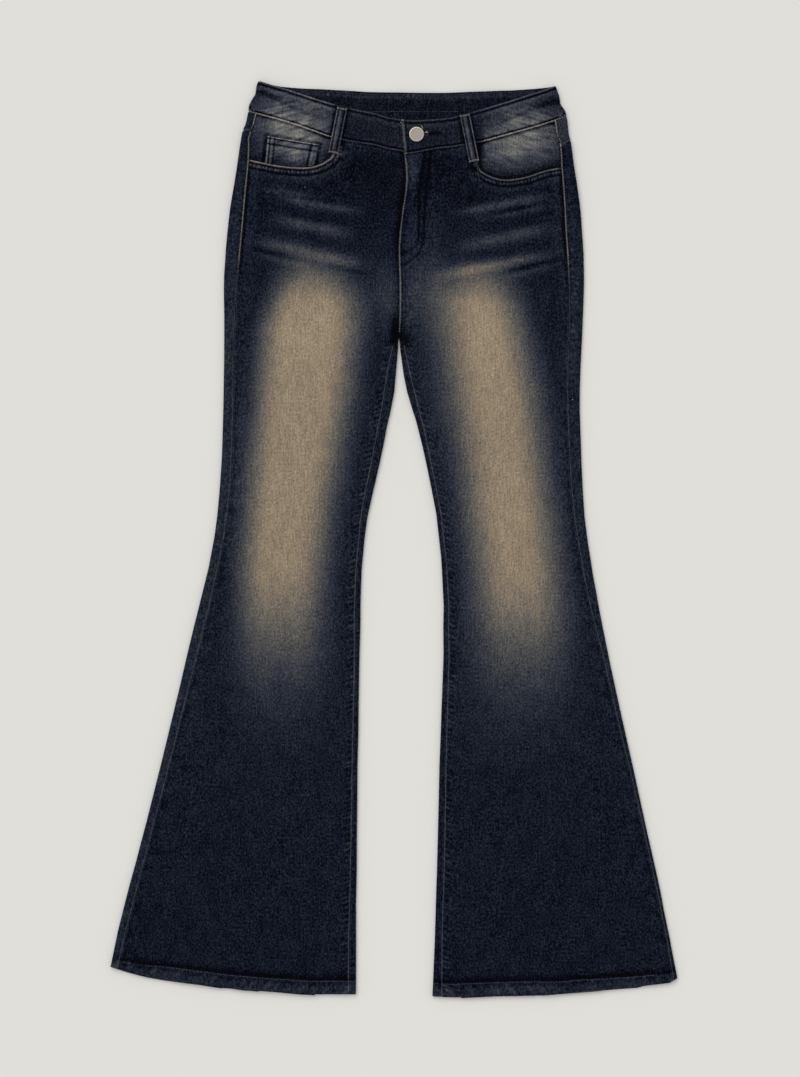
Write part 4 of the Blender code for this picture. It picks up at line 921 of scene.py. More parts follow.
def rolled_edge(height, lap, turn):
    """Offsets outwards and up of an edge that rolls up by an angle and runs back above itself.

    The roll keeps its length while it opens. Height, lap and turn hold a value for each row.
    """
    height, lap = height[:, None], lap[:, None]
    turn = np.maximum(turn, 0.002)[:, None]
    roll_length = math.pi * height / 2
    strip = np.maximum(lap - height / 2, CLOTH)
    angles = turn * np.linspace(0.0, 1.0, FOLD_STEPS + 1)
    out = roll_length / turn * np.sin(angles)
    up = roll_length / turn * (1.0 - np.cos(angles))
    reach = strip * np.array(STRIP_REACH[1:])
    out = np.concatenate([out, out[:, -1:] + reach * np.cos(turn)], axis=1)
    up = np.concatenate([up, up[:, -1:] + reach * np.sin(turn)], axis=1)
    squeeze = np.minimum(height / np.maximum(up.max(axis=1, keepdims=True), CLOTH), 1.0)
    return out - out.max(axis=1, keepdims=True), up * squeeze


def on_top_share():
    """For each column of a rolled edge, from the underside to the seam: 0 below to 1 above."""
    turn = smooth(np.linspace(0.0, 1.0, FOLD_STEPS + 1))
    return np.concatenate([turn, np.ones(len(STRIP_REACH) - 1)])


def back_wash(x, y, on_top):
    """Brightness of the backs: the strips beside the seams match the fronts."""
    paler = np.where(x < 0, STRIP_WASH[-1], STRIP_WASH[1])
    above = profile(GROUND, y) + paler * smooth((np.abs(x) - 0.12) / 0.05)
    below = profile(GROUND, y) + spot_field(BACK_WASH_SPOTS, x, y) + streak_field(KNEE_LINES, x, y)
    return lerp(below, above, on_top)


def make_back(side):
    """Shell of a back leg panel."""
    node = f"back_leg_{SIDES[side]}"
    hem, strip_top, back_top = BACK_HEM[side], STRIP_TOP[side], BACK_TOP[side]
    levels = leg_levels(BACK_TOP_Y, ROW_STEP)
    outer_y = inner_y = seam_y = levels
    for _ in range(6):
        outer, inner, seam = LEG_EDGE[side](outer_y), LEG_INNER_EDGE[side](inner_y), side_seam(side, seam_y)
        outer_y, inner_y, seam_y = (row_y(levels, hem(x), top(x), BACK_TOP_Y, BACK_TOP_EASE)
                                    for x, top in ((outer, strip_top), (inner, back_top), (seam, strip_top)))

    outer_lap = np.abs(outer - seam) - GAP
    out, up = rolled_edge(FOLD_HEIGHT[side](outer_y), outer_lap, np.full(len(levels), math.pi))
    outer_x, outer_z = (outer[:, None] + side * out)[:, ::-1], up[:, ::-1]
    curl = smooth((CROTCH_Y - 0.001 - inner_y) / CURL_LENGTH)
    inner_lap = np.abs(inner - INNER_SEAM[side](inner_y)) - GAP
    inner_lap = np.where(inner_y < CROTCH_Y, inner_lap, 0.0)
    out, inner_z = rolled_edge(INNER_FOLD_HEIGHT[side](inner_y), inner_lap, math.pi * curl)
    inner_x = inner[:, None] - side * out

    shares = np.arange(1, BACK_COLUMNS) / BACK_COLUMNS
    flat_x = lerp(outer_x[:, -1:], inner_x[:, :1], shares)
    x = np.concatenate([outer_x, flat_x, inner_x], axis=1)
    rolled = on_top_share()
    outer_top = np.broadcast_to(rolled[::-1], outer_x.shape)
    inner_top = rolled * curl[:, None]
    on_top = np.concatenate([outer_top, np.zeros(flat_x.shape), inner_top], axis=1)
    high_line = lerp(back_top(x), strip_top(x), on_top)
    y = row_y(levels[:, None], hem(x), high_line, BACK_TOP_Y, BACK_TOP_EASE)

    flat_y = y[:, outer_x.shape[1]:-inner_x.shape[1]]
    lifted = np.maximum(solids[node].height(flat_x, flat_y, from_above=False), 0.0)
    inner_lift = np.where(curl[:, None] > 0, 0.0, lifted[:, -1:])
    z = np.concatenate([outer_z, lifted, inner_z + inner_lift], axis=1)

    from_side = from_column(0, x)
    from_inseam = np.where((inner_y < CROTCH_Y)[:, None], from_column(-1, x), FAR)
    above_hem = y - hem(x)
    strip = on_top > 0.99
    ropes = hem_field(side, x, above_hem)
    ticks = STRIP_TICKS[side].at(y, STRIP_TICK_WIDTH) * profile(STRIP_PUCKER_REACH, from_side)
    ticks = np.where(strip & (x * side > 0.1), ticks * STRIP_TICK_STRENGTH[side], 0.0)
    relief = STRIP_TICK_HEIGHT * ticks + HEM_ROPE_HEIGHT * 0.8 * ropes * on_top
    arched = streak_field(BACK_CREASES, x, y) + 0.0004 * (1.0 + mottle(x, y, 0.060, 7.0))
    arched += 0.0006 * ropes
    relief += np.maximum(arched, 0.0) * (1.0 - np.minimum(on_top * 4.0, 1.0))
    wall = np.where(above_hem < HEM_DEPTH, HEM_WALL, CLOTH)

    wear_and_shading = profile(STRIP_AT_SEAM, from_side) * profile(SIDE_SEAM_LIGHT, y)
    wear_and_shading = np.where(strip, wear_and_shading + profile(STRIP_AT_INSEAM, from_inseam), 0.0)
    wear_and_shading += STRIP_TICK_WEAR * ticks + hem_wear_and_shade(side, x, above_hem, ropes)
    wear_and_shading += spot_field(CROTCH_SHADES, x, y) * on_top
    edge = nearest(above_hem, high_line - y, from_column(0, x, z), from_column(-1, x, z))
    return cloth_shell(node, (x, y, z + relief), wall, side, edge, back_wash(x, y, on_top), wear_and_shading)


# ---- the yokes --------------------------------------------------------------------------------------
YOKE_ROWS = 26
YOKE_COLUMNS = 120
WAIST_PALER = 0.05                  # the yokes and the waist are paler than the ground by this much
YOKE_STRIP_WASH = {-1: 0.25, 1: 0.31}
YOKE_FOLD_Y = {-1: 0.4679, 1: 0.4619}       # lower end of each yoke where it turns over the side
# SEAM_EDGE is painted shade along a seam; YOKE_EDGE is a yoke's rubbed pale lower edge with painted shade
# above it
SEAM_EDGE = [(0.0, -0.06), (0.0010, -0.03), (0.0022, 0.0), (0.0040, 0.0)]
YOKE_EDGE = [(0.0, 0.14), (0.0010, 0.18), (0.0018, 0.0), (0.0030, -0.05), (0.0048, -0.03), (0.0060, 0.0)]


def make_yoke(side):
    """Shell of a back yoke, from its end beside the pocket, round the side, to the centre back."""
    node = f"back_yoke_{SIDES[side]}"
    solid = solids[node]
    edge_line = solid.line(1, YOKE_FOLD_Y[side] + CUT_STEP, 0.490, outermost(side))
    (below_low, below_high), (front_low, front_high) = (
        (solid.line(0, -0.20, 0.20, only(0.41, 0.475, between(*heights, lowest_y))),
         solid.line(0, -0.20, 0.20, only(0.475, 0.495, between(*heights, highest_y))))
        for heights in (ON_FLOOR, IN_FRONT))
    shares = np.concatenate([[0.0, 0.012, 0.03], np.linspace(0.06, 0.97, YOKE_ROWS - 5), [0.985, 1.0]])
    fold_y = seam_y = np.full(len(shares), 0.475)
    for _ in range(5):
        edge, seam = edge_line(fold_y), side_seam(side, seam_y)
        fold_y = lerp(below_low(edge), below_high(edge), shares)
        seam_y = lerp(front_low(seam), front_high(seam), shares)
    lap = np.abs(edge - seam) - GAP
    height = FOLD_HEIGHT[side](np.full(len(shares), 0.450))
    out, up = rolled_edge(height, lap, np.full(len(shares), math.pi))
    outer_x = (edge[:, None] + side * out)[:, ::-1]
    centre_x = innermost(side)(solid.points)
    flat_x = lerp(outer_x[:, -1:], centre_x, np.arange(1, YOKE_COLUMNS + 1) / YOKE_COLUMNS)
    x = np.concatenate([outer_x, flat_x], axis=1)
    on_top = np.broadcast_to(on_top_share()[::-1], outer_x.shape)
    on_top = np.concatenate([on_top, np.zeros(flat_x.shape)], axis=1)
    low = lerp(below_low(x), front_low(x), on_top)
    high = lerp(below_high(x), front_high(x), on_top)
    y = lerp(low, high, shares[:, None])
    flat_y = np.clip(y, low + EDGE_INSET, high - EDGE_INSET)[:, outer_x.shape[1]:]
    inset_x = side * np.maximum(side * flat_x, side * centre_x + EDGE_INSET)
    lifted = solid.height(inset_x, flat_y, from_above=False)
    z = np.concatenate([up[:, ::-1], lifted], axis=1)
    z = z + np.maximum(0.0002 * (1.0 + mottle(x, y, 0.040, 11.0)), 0.0) * (1.0 - on_top)

    wear_and_shading = profile(SEAM_EDGE, high - y) + profile(YOKE_EDGE, y - low)
    wear_and_shading += profile(STRIP_AT_SEAM, from_column(0, x)) * (on_top > 0.99)
    wash = lerp(profile(GROUND, y) + WAIST_PALER, YOKE_STRIP_WASH[side], on_top)
    edge = nearest(y - low, high - y, np.abs(x - centre_x) + on_top, from_column(0, x, z))
    return cloth_shell(node, (x, y, z), CLOTH, side, edge, wash, wear_and_shading)


# ---- pocket facings, coin pocket and back pockets ---------------------------------------------------
COIN_CORNERS = [(-0.1617, 0.4611), (-0.1025, 0.4524), (-0.1071, 0.4284), (-0.1644, 0.4307)]
# Pale amounts are the coin pocket's rubbed edges; dark amounts are painted shade at its edges and along its
# rows
COIN_TOP_EDGE = [(0.0, 0.20), (0.0005, 0.34), (0.0011, 0.16), (0.0016, -0.22), (0.0026, -0.26), (0.0034, 0.0),
                 (0.0046, 0.10), (0.0068, 0.08), (0.0078, -0.24), (0.0092, -0.24), (0.0102, 0.04),
                 (0.0120, 0.07), (0.0180, 0.03), (0.0260, 0.0)]
COIN_START_EDGE = [(0.0, -0.10), (0.0006, 0.10), (0.0012, 0.32), (0.0021, 0.30), (0.0030, -0.14),
                   (0.0037, -0.20), (0.0046, 0.05), (0.0056, 0.16), (0.0068, 0.14), (0.0080, -0.10),
                   (0.0090, -0.22), (0.0102, 0.0)]
COIN_END_EDGE = [(0.0, 0.02), (0.0010, 0.12), (0.0022, 0.06), (0.0032, 0.02), (0.0044, 0.15), (0.0058, 0.18),
                 (0.0068, 0.02), (0.0078, -0.24), (0.0090, -0.22), (0.0102, 0.04), (0.0130, 0.0)]
COIN_SIDE_RELIEF = [(0.0, 0.0), (0.0010, 1.0), (0.0022, 0.2), (0.0040, 0.7), (0.0070, 0.0)]
COIN_TOP_RELIEF = [(0.0, 0.3), (0.0012, 1.0), (0.0026, 0.2), (0.0050, 0.6), (0.0080, 0.0)]
COIN_DARKER = 0.07                  # the coin pocket is darker than the facing by this much
# Pale amounts are the back pockets' rubbed edges; dark amounts are painted shade along their rows of stitches
BACK_POCKET_TOP = [(0.0, 0.16), (0.0006, 0.30), (0.0014, 0.24), (0.0020, -0.06), (0.0030, -0.14),
                   (0.0038, -0.04), (0.0070, -0.02), (0.0078, -0.14), (0.0088, -0.14), (0.0098, 0.0)]
POCKET_EDGE = [(0.0, 0.12), (0.0010, 0.16), (0.0018, -0.06), (0.0030, -0.02), (0.0070, -0.02),
               (0.0080, -0.08), (0.0092, 0.0)]


def patch(bottom, top, start, end):
    """Grid of points in plan filled in between four edges; rows run from bottom to top."""
    bottom, top, start, end = (np.array(edge, dtype=float) for edge in (bottom, top, start, end))
    rows = np.linspace(0.0, 1.0, len(start))[:, None, None]
    columns = np.linspace(0.0, 1.0, len(bottom))[None, :, None]
    between_rows = lerp(bottom[None], top[None], rows)
    between_columns = lerp(start[:, None], end[:, None], columns)
    corners = lerp(lerp(bottom[0], bottom[-1], columns), lerp(top[0], top[-1], columns), rows)
    return between_rows + between_columns - corners


def straight(start, end, count):
    """Points along a straight edge, closer together at its ends."""
    t = np.linspace(0.0, 1.0, count)
    t = lerp(t, smooth(t), 0.5)
    return [(lerp(start[0], end[0], k), lerp(start[1], end[1], k)) for k in t]


def edge_distances(grid):
    """Distance in plan from each point of a grid to the bottom, top, start and end edges."""
    x, y = grid[..., 0], grid[..., 1]
    return [distance_to([tuple(p) for p in edge], x, y)[0]
            for edge in (grid[0], grid[-1], grid[:, 0], grid[:, -1])]


def patch_heights(solid, plan, from_above=True):
    """Heights of a solid under a grid in plan, read just inside its edges."""
    middle = plan.reshape(-1, 2).mean(axis=0)
    toward = middle - plan
    inset = plan + toward / np.linalg.norm(toward, axis=2, keepdims=True) * EDGE_INSET
    return solid.height(inset[..., 0], inset[..., 1], from_above)


FACING_GROOVE = {-1: 0.45, 1: 0.55}  # strength of the painted shadow on each facing along the pocket's edge
FACING_TUCK = 0.0014                # how far the facing reaches under the strip beside it
FACING_SEAM_Y = (0.4300, 0.4868)    # the side seam's stretch beside the facings
FACING_ROWS = 34
FACING_COLUMNS = 76


def make_facing(side):
    """Shell of a hip facing, which shows in the pocket's opening."""
    node = f"pocket_facing_{SIDES[side]}"
    solid = solids[node]
    inner_x = innermost(side)(solid.points)

    def long_edge(measure, seam_y):
        """Places along the lower or upper edge, up to the side seam."""
        line = solid.line(0, -0.19, 0.19, measure)
        return [(x, float(line(x))) for x in np.linspace(inner_x, side_seam(side, seam_y), FACING_COLUMNS)]

    bottom, top = long_edge(lowest_y, FACING_SEAM_Y[0]), long_edge(highest_y, FACING_SEAM_Y[1])
    start = [(inner_x, y) for y in np.linspace(bottom[0][1], top[0][1], FACING_ROWS)]
    end = [(float(side_seam(side, y)) + side * FACING_TUCK, y)
           for y in np.linspace(bottom[-1][1], top[-1][1], FACING_ROWS)]
    bottom[-1], top[-1] = end[0], end[-1]
    plan = patch(bottom, top, start, end)
    x, y = plan[..., 0], plan[..., 1]
    z = patch_heights(solid, plan) + 0.0002 * mottle(x, y, 0.030, 5.0)
    from_low, from_top, _, from_seam = edge_distances(plan)
    from_scoop = distance_to(SCOOP_PATH[side], x, y)[0]
    # painted shade along the seam, painted shadow under the waistband and the pocket's edge, and round the
    # coin pocket
    wear_and_shading = profile(SEAM_EDGE, from_seam) + profile(FACING_AT_BAND, from_top)
    wear_and_shading += profile(FACING_AT_SCOOP, from_scoop) * FACING_GROOVE[side]
    if side < 0:
        wear_and_shading += profile(AROUND_COIN, distance_to([*COIN_CORNERS, COIN_CORNERS[0]], x, y)[0])
    edge = nearest(from_low, from_top, from_seam)
    return cloth_shell(node, (x, y, z), CLOTH, side, edge, waist_wash(x, y), wear_and_shading)


CRINKLE_SHARE = 0.40                # how much the fine creases vary the waist's fade


def crinkles(x, y):
    """Fine uneven creases that run along the waistband, from about -1 to 1."""
    return mottle(np.abs(x) / 6.0 + 0.02 * np.sign(x), y + 0.26 * np.abs(x), 0.0032, 31.0)


def waist_wash(x, y):
    """Brightness of the waistband, the facings and the coin pocket."""
    return profile(GROUND, y) + WAIST_PALER + waist_fade(x, y) * (1.0 + CRINKLE_SHARE * crinkles(x, y))


def make_coin_pocket():
    """Shell of the small patch pocket on the right facing."""
    solid = solids["coin_pocket"]
    top_left, top_right, low_right, low_left = COIN_CORNERS
    low = solid.line(0, low_left[0], low_right[0], only(0.42, 0.435, lowest_y))
    bottom = [(x, float(low(x))) for x in np.linspace(low_left[0], low_right[0], 108)]
    top = straight(top_left, top_right, 108)
    start = straight(bottom[0], top_left, 52)
    end = straight(bottom[-1], top_right, 52)
    plan = patch(bottom, top, start, end)
    x, y = plan[..., 0], plan[..., 1]
    from_low, from_top, from_start, from_end = edge_distances(plan)
    z = patch_heights(solid, plan) + 0.00015 * mottle(x, y, 0.020, 9.0)
    z = z + 0.0003 * profile(COIN_SIDE_RELIEF, nearest(from_start, from_end))
    z = z + 0.0004 * profile(COIN_TOP_RELIEF, from_top)
    wear_and_shading = profile(COIN_TOP_EDGE, from_top) + profile(COIN_START_EDGE, from_start)
    wear_and_shading += profile(COIN_END_EDGE, from_end)
    edge = nearest(from_low, from_top, from_start, from_end)
    return cloth_shell("coin_pocket", (x, y, z), CLOTH, 1, edge, waist_wash(x, y) - COIN_DARKER, wear_and_shading)


def pocket_corners(side):
    """Corners of a back pocket: top left, low left, point, low right and top right in plan."""
    points = solids[f"back_pocket_{SIDES[side]}"].points
    left, right = points[:, 0].min(), points[:, 0].max()
    middle_x, wide = (left + right) / 2, (right - left) / 2
    top_y, low_y = points[:, 1].max(), points[:, 1].min()
    corner_y = np.sort(np.unique(np.round(points[:, 1], 4)))[1]
    narrow = np.abs(points[np.abs(points[:, 1] - corner_y) < 0.0005][:, 0] - middle_x).max()
    return [(middle_x - wide, top_y), (middle_x - narrow, corner_y), (middle_x, low_y),
            (middle_x + narrow, corner_y), (middle_x + wide, top_y)]


BACK_POCKET_ROWS = 62
BACK_POCKET_COLUMNS = 61


def make_back_pocket(side):
    """Shell of a back patch pocket, whose good side faces the floor."""
    node = f"back_pocket_{SIDES[side]}"
    _, _, (middle_x, point_y), (low_x, corner_y), (high_x, high_y) = pocket_corners(side)
    across = np.linspace(-1.0, 1.0, BACK_POCKET_COLUMNS)
    bottom = [(lerp(middle_x, low_x, k), lerp(point_y, corner_y, abs(k))) for k in across]
    top = [(lerp(middle_x, high_x, k), high_y) for k in across]
    start, end = (straight(bottom[k], top[k], BACK_POCKET_ROWS) for k in (0, -1))
    plan = patch(bottom, top, start, end)
    x, y = plan[..., 0], plan[..., 1]
    from_low, from_top, from_start, from_end = edge_distances(plan)
    sewn = nearest(from_low, from_start, from_end)
    puff = smooth((np.minimum(sewn, from_top) - 0.002) / 0.030)
    z = 0.0001 + 0.00035 * (1.0 - puff) * smooth(sewn / 0.010) + 0.0001 * (1.0 + mottle(x, y, 0.030, 13.0))
    wear_and_shading = profile(POCKET_EDGE, sewn) + profile(BACK_POCKET_TOP, from_top)
    wash = 0.16 + puff * spot_field([Spot(middle_x, 0.345, 0.040, 0.045, 0.30)], x, y)
    return cloth_shell(node, (x, y, z), CLOTH, -1, np.minimum(sewn, from_top), wash, wear_and_shading)


# ---- the waistband ----------------------------------------------------------------------------------
BAND_TOP = 0.0052
BAND_INSIDE_WASH = 0.145
WAIST_FADE_START = 0.080            # outside the front loops the band's edges have worn paler
BAND_SEAM_FOLD_Y = 0.4899
BAND_END_X = (-0.0040, -0.0086)     # the left half's end, at the seam and at the top
UNDERLAP_X = 0.0281                 # the right half's end, under the left half
BAND_STEP = 0.0010
BAND_END_STRIP = 0.0080             # the lapped end is divided more finely over this width
BAND_ROW_SHARES = np.concatenate([[0.0, 0.010, 0.025, 0.045, 0.07, 0.10], np.linspace(0.135, 0.865, 20),
                                  [0.90, 0.93, 0.955, 0.975, 0.99, 1.0]])
BAND_CREASES = {            # the folded crease across each side of the band: x, y pairs
    -1: [(-0.1760, 0.5130), (-0.1530, 0.5045), (-0.1420, 0.4982), (-0.1215, 0.4889), (-0.0940, 0.4804)],
    1: [(0.1720, 0.5070), (0.1550, 0.5020), (0.1390, 0.4955), (0.1160, 0.4855), (0.1010, 0.4790),
        (0.0870, 0.4775)],
}
BAND_SEAM_DROP = 0.0016             # the band's cloth reaches this far below its solid in front
SIDE_SEAM_DROP = 0.0007             # and this much further beside the pockets
LAP_DROP = 0.0026                   # and at its lapped end
LAP_REACH = 0.0150
# The band's edges are rubbed pale; the dark amounts are painted shade along its rows of stitches and above
# its seam.
BAND_EDGE_WEAR_AND_SHADE = [(0.0, 0.12), (0.0006, 0.26), (0.0015, 0.22), (0.0022, -0.14), (0.0034, -0.30),
                  (0.0044, -0.12), (0.0054, 0.14), (0.0068, 0.16), (0.0085, 0.08), (0.0110, 0.0)]
BAND_SEAM_WEAR_AND_SHADE = [(0.0, 0.14), (0.0005, 0.34), (0.0012, 0.24), (0.0018, -0.30), (0.0027, -0.56),
                  (0.0035, -0.26), (0.0046, 0.04), (0.0060, 0.04), (0.0090, 0.0)]
BAND_TOP_PUCKERS = [(0.0, 0.6), (0.0014, 1.0), (0.0030, 0.0)]
BAND_SEAM_PUCKERS = [(0.0, 0.3), (0.0020, 1.0), (0.0045, 0.0)]
BAND_PUCKER_WEAR = 0.13
BAND_CREASE_DEPTH = 0.0007
BAND_CREASE_SHADE = 0.16
BAND_CREASE_WIDTH = 0.0026
BESIDE_LOOP = [(0.0060, -0.26), (0.0078, -0.26), (0.0095, -0.04), (0.0110, 0.0)]    # painted shadow on the band beside each front loop, from its middle line
# painted shade in the buttonhole's slit
BUTTONHOLE_SHADE = [Streak(0.0120, 0.4652, 0.0420, 0.4686, 0.0009, -0.30)]
# the lapped end is rubbed pale, with painted shade along its row of stitches
BAND_END_WEAR_AND_SHADE = [(0.0, 0.24), (0.0010, 0.26), (0.0030, 0.20), (0.0037, -0.10), (0.0048, -0.08), (0.0064, 0.0)]
BAND_INNER_WEAR = [(0.0, 0.08), (0.0012, 0.0), (0.0028, 0.02), (0.0044, 0.12), (0.0060, 0.12), (0.0080, 0.03),
                   (0.0100, 0.0)]
BAND_RIM_TICKS = Ticks(91, -0.20, 0.20, 0.0036, 0.15, 0.4)
BACK_RIM_TICKS = Ticks(92, -0.20, 0.20, 0.0036, 0.15, 0.4)


def band_edges(*heights):
    """Lower and upper edge of the waistband between two heights, as functions of X."""
    line = solids["waistband"].line
    return (line(0, -0.20, 0.20, only(0.44, 0.495, between(*heights, lowest_y))),
            line(0, -0.20, 0.20, only(0.478, 0.526, between(*heights, highest_y))))


BAND_EDGES = {"front": band_edges(0.0045, 0.0100), "back": band_edges(-0.0010, 0.0016)}


def front_band_low(x):
    """Lower edge of the band's cloth in front, which hangs a little lower at its lapped end."""
    lap = np.exp(-((x - BAND_END_X[0]) / LAP_REACH) ** 2) * (x > BAND_END_X[0] - 0.0005)
    at_side = smooth((np.abs(x) - 0.070) / 0.030)
    return BAND_EDGES["front"][0](x) - BAND_SEAM_DROP - SIDE_SEAM_DROP * at_side - LAP_DROP * lap


BAND_LINES = {"front": (front_band_low, BAND_EDGES["front"][1]), "back": BAND_EDGES["back"]}


def band_grid():
    """The waistband's good side in one strip: right end, right side, back, left side, left end.

    Returns X, Y and Z, and what is 1 in front, 0 behind and in between at the folded sides.
    """
    solid = solids["waistband"]
    shares = BAND_ROW_SHARES[:, None]
    radius = BAND_TOP / 2
    fold_y = lerp(BAND_SEAM_FOLD_Y, cad_box[1][1], shares)
    angles = np.linspace(math.pi / 2, -math.pi / 2, FOLD_STEPS + 1)[None, :]

    def across(start, end, step=BAND_STEP):
        """X of the columns between two places, each given for every row."""
        count = max(int(abs(float(np.mean(end - start))) / step), 2)
        return lerp(start, end, np.linspace(0.0, 1.0, count + 1)[None, 1:-1])

    def flat(xs, name):
        """Y of a flat stretch."""
        low, high = BAND_LINES[name]
        return lerp(low(xs), high(xs), shares)

    def fold(side):
        """X and Z of the turn at one side, from the front down to the back."""
        fold_x = solid.line(1, 0.490, 0.5238, outermost(side))(fold_y)
        x = fold_x - side * radius + side * radius * np.cos(angles)
        return x, np.broadcast_to(radius + radius * np.sin(angles), x.shape)

    right_x, right_z = fold(-1)
    left_x, left_z = fold(1)
    underlap_x = np.full(shares.shape, UNDERLAP_X)
    end_x = lerp(BAND_END_X[0], BAND_END_X[1], shares)
    front_right = np.concatenate([underlap_x, across(underlap_x, right_x[:, :1])], axis=1)
    back = across(right_x[:, -1:], left_x[:, -1:])
    near_end = end_x + BAND_END_STRIP
    front_left = np.concatenate([across(left_x[:, :1], near_end), near_end,
                                 across(near_end, end_x, BAND_STEP / 2), end_x], axis=1)
    x = np.concatenate([front_right, right_x, back, left_x[:, ::-1], front_left], axis=1)
    fold_rows = np.broadcast_to(fold_y, right_x.shape)
    y = np.concatenate([flat(front_right, "front"), fold_rows, flat(back, "back"), fold_rows,
                        flat(front_left, "front")], axis=1)

    low, high = BAND_LINES["back"]
    inset_y = np.clip(flat(back, "back"), low(back) + EDGE_INSET, high(back) - EDGE_INSET)
    back_z = solid.height(back, inset_y, from_above=False)
    low, high = BAND_LINES["front"]
    inset_x = np.maximum(front_left, end_x + EDGE_INSET)
    left_heights = solid.height(inset_x, lerp(low(inset_x), high(inset_x), np.clip(shares, 0.03, 0.97)))
    z = np.concatenate([np.full(front_right.shape, BAND_TOP), right_z, back_z, left_z[:, ::-1],
                        left_heights], axis=1)

    down = smooth(np.linspace(0.0, 1.0, FOLD_STEPS + 1))
    on_top = np.concatenate([np.ones(front_right.shape[1]), 1.0 - down, np.zeros(back.shape[1]), down,
                             np.ones(front_left.shape[1])])
    return x, y, z, np.broadcast_to(on_top, x.shape)


def make_waistband():
    """Shell of the waistband, folded at both sides and lapped in front."""
    x, y, z, on_top = band_grid()
    shares = BAND_ROW_SHARES[:, None]
    low, high = (lerp(BAND_LINES["back"][k](x), BAND_LINES["front"][k](x), on_top) for k in (0, 1))
    deep = np.maximum(high - low, 0.030)
    from_seam, from_top = shares * deep, (1.0 - shares) * deep

    crease = np.zeros(x.shape)
    for side, path in BAND_CREASES.items():
        on_side = smooth((side * x - 0.085) / 0.030)
        crease += on_side * np.exp(-(distance_to(path, x, y)[0] / BAND_CREASE_WIDTH) ** 2)
    crease *= on_top
    rim = lerp(BACK_RIM_TICKS.at(x, 0.0010), BAND_RIM_TICKS.at(x, 0.0010), on_top)
    puckers = rim * (profile(BAND_TOP_PUCKERS, from_top) + 0.7 * profile(BAND_SEAM_PUCKERS, from_seam))
    relief = 0.0003 * puckers * on_top - BAND_CREASE_DEPTH * crease
    relief += 0.0002 * mottle(x, y, 0.030, 17.0) * on_top
    z = z + np.where(on_top > 0.5, relief, 0.0001 * (1.0 - on_top))

    faded_side = smooth((np.abs(x) - WAIST_FADE_START) / 0.010)
    wear_and_shading = profile(BAND_EDGE_WEAR_AND_SHADE, from_top) + profile(BAND_SEAM_WEAR_AND_SHADE, from_seam)
    wear_and_shading *= lerp(0.55, 1.0, faded_side)
    # painted shadow beside the front loops
    for ends in FRONT_LOOPS.values():
        wear_and_shading += profile(BESIDE_LOOP, distance_to(ends, x, y)[0]) * on_top * lerp(0.5, 1.0, faded_side)
    wear_and_shading += BAND_PUCKER_WEAR * puckers * on_top - BAND_CREASE_SHADE * crease
    from_end = from_column(-1, x) + (1.0 - on_top)
    wear_and_shading = np.where(x > x[:, -1:] - GAP, wear_and_shading + profile(BAND_END_WEAR_AND_SHADE, from_end), wear_and_shading)
    # painted shade of the buttonhole's slit
    wear_and_shading += streak_field(BUTTONHOLE_SHADE, x, y) * on_top
    behind_wash = 0.18 + 0.10 * np.exp(-((np.abs(x) - 0.10) / 0.05) ** 2)
    wash = lerp(behind_wash, waist_wash(x, y) + 0.01, on_top)
    edge = nearest(from_seam, from_top, from_column(0, x, z), from_column(-1, x, z))
    inside = (BAND_INSIDE_WASH, profile(BAND_INNER_WEAR, from_top))
    return cloth_shell("waistband", (x, y, z), BAND_WALL, -1, edge, wash, wear_and_shading, inside, step=2)


# ---- belt loops -------------------------------------------------------------------------------------
LOOP_WIDTH = 0.0118
FRONT_LOOPS = {             # middle of each loop's top and bottom end
    "belt_loop_front_right": ((-0.0762, 0.4951), (-0.0857, 0.4420)),
    "belt_loop_front_left": ((0.0643, 0.4897), (0.0762, 0.4353)),
}
BACK_LOOPS = {
    "belt_loop_back_right": ((-0.0840, 0.5144), (-0.0859, 0.4719)),
    "belt_loop_back_middle": ((0.0001, 0.5134), (-0.0009, 0.4719)),
    "belt_loop_back_left": ((0.0841, 0.5154), (0.0851, 0.4719)),
}
# Pale amounts are the loops' rubbed edges and middle ridge; dark amounts are painted shade in the grooves
# beside them.
LOOP_EDGE = [(0.0, 0.14), (0.0006, 0.36), (0.0012, 0.28), (0.0018, -0.10), (0.0028, -0.14), (0.0036, 0.0)]
LOOP_END = [(0.0, 0.10), (0.0008, 0.26), (0.0018, 0.18), (0.0026, -0.10), (0.0040, 0.0)]
LOOP_RIB = [(-0.0036, 0.0), (-0.0024, 0.16), (-0.0012, 0.24), (0.0, 0.16), (0.0011, 0.08), (0.0022, -0.08),
            (0.0034, -0.06), (0.0042, 0.0)]      # from the middle line, towards the wearer's left
LOOP_WASH = {True: 0.23, False: 0.17}       # of the loops in front and of those behind
LOOP_INNER_EDGE_SHARE = 0.65         # the edges towards the middle have rubbed less pale, and carry less painted shade, by this share
LOOP_RELIEF = 0.00025
LOOP_SIDE_RELIEF = [(0.0, 0.3), (0.0009, 1.0), (0.0020, 0.2), (0.0040, 0.6), (0.0059, 0.8)]
LOOP_END_RELIEF = [(0.0, 0.2), (0.0010, 1.0), (0.0026, 0.2), (0.0060, 0.5)]
LOOP_SINK = 0.0003                  # the relief of the loops behind stays inside their solids
LOOP_ROWS = 84
LOOP_COLUMNS = 29


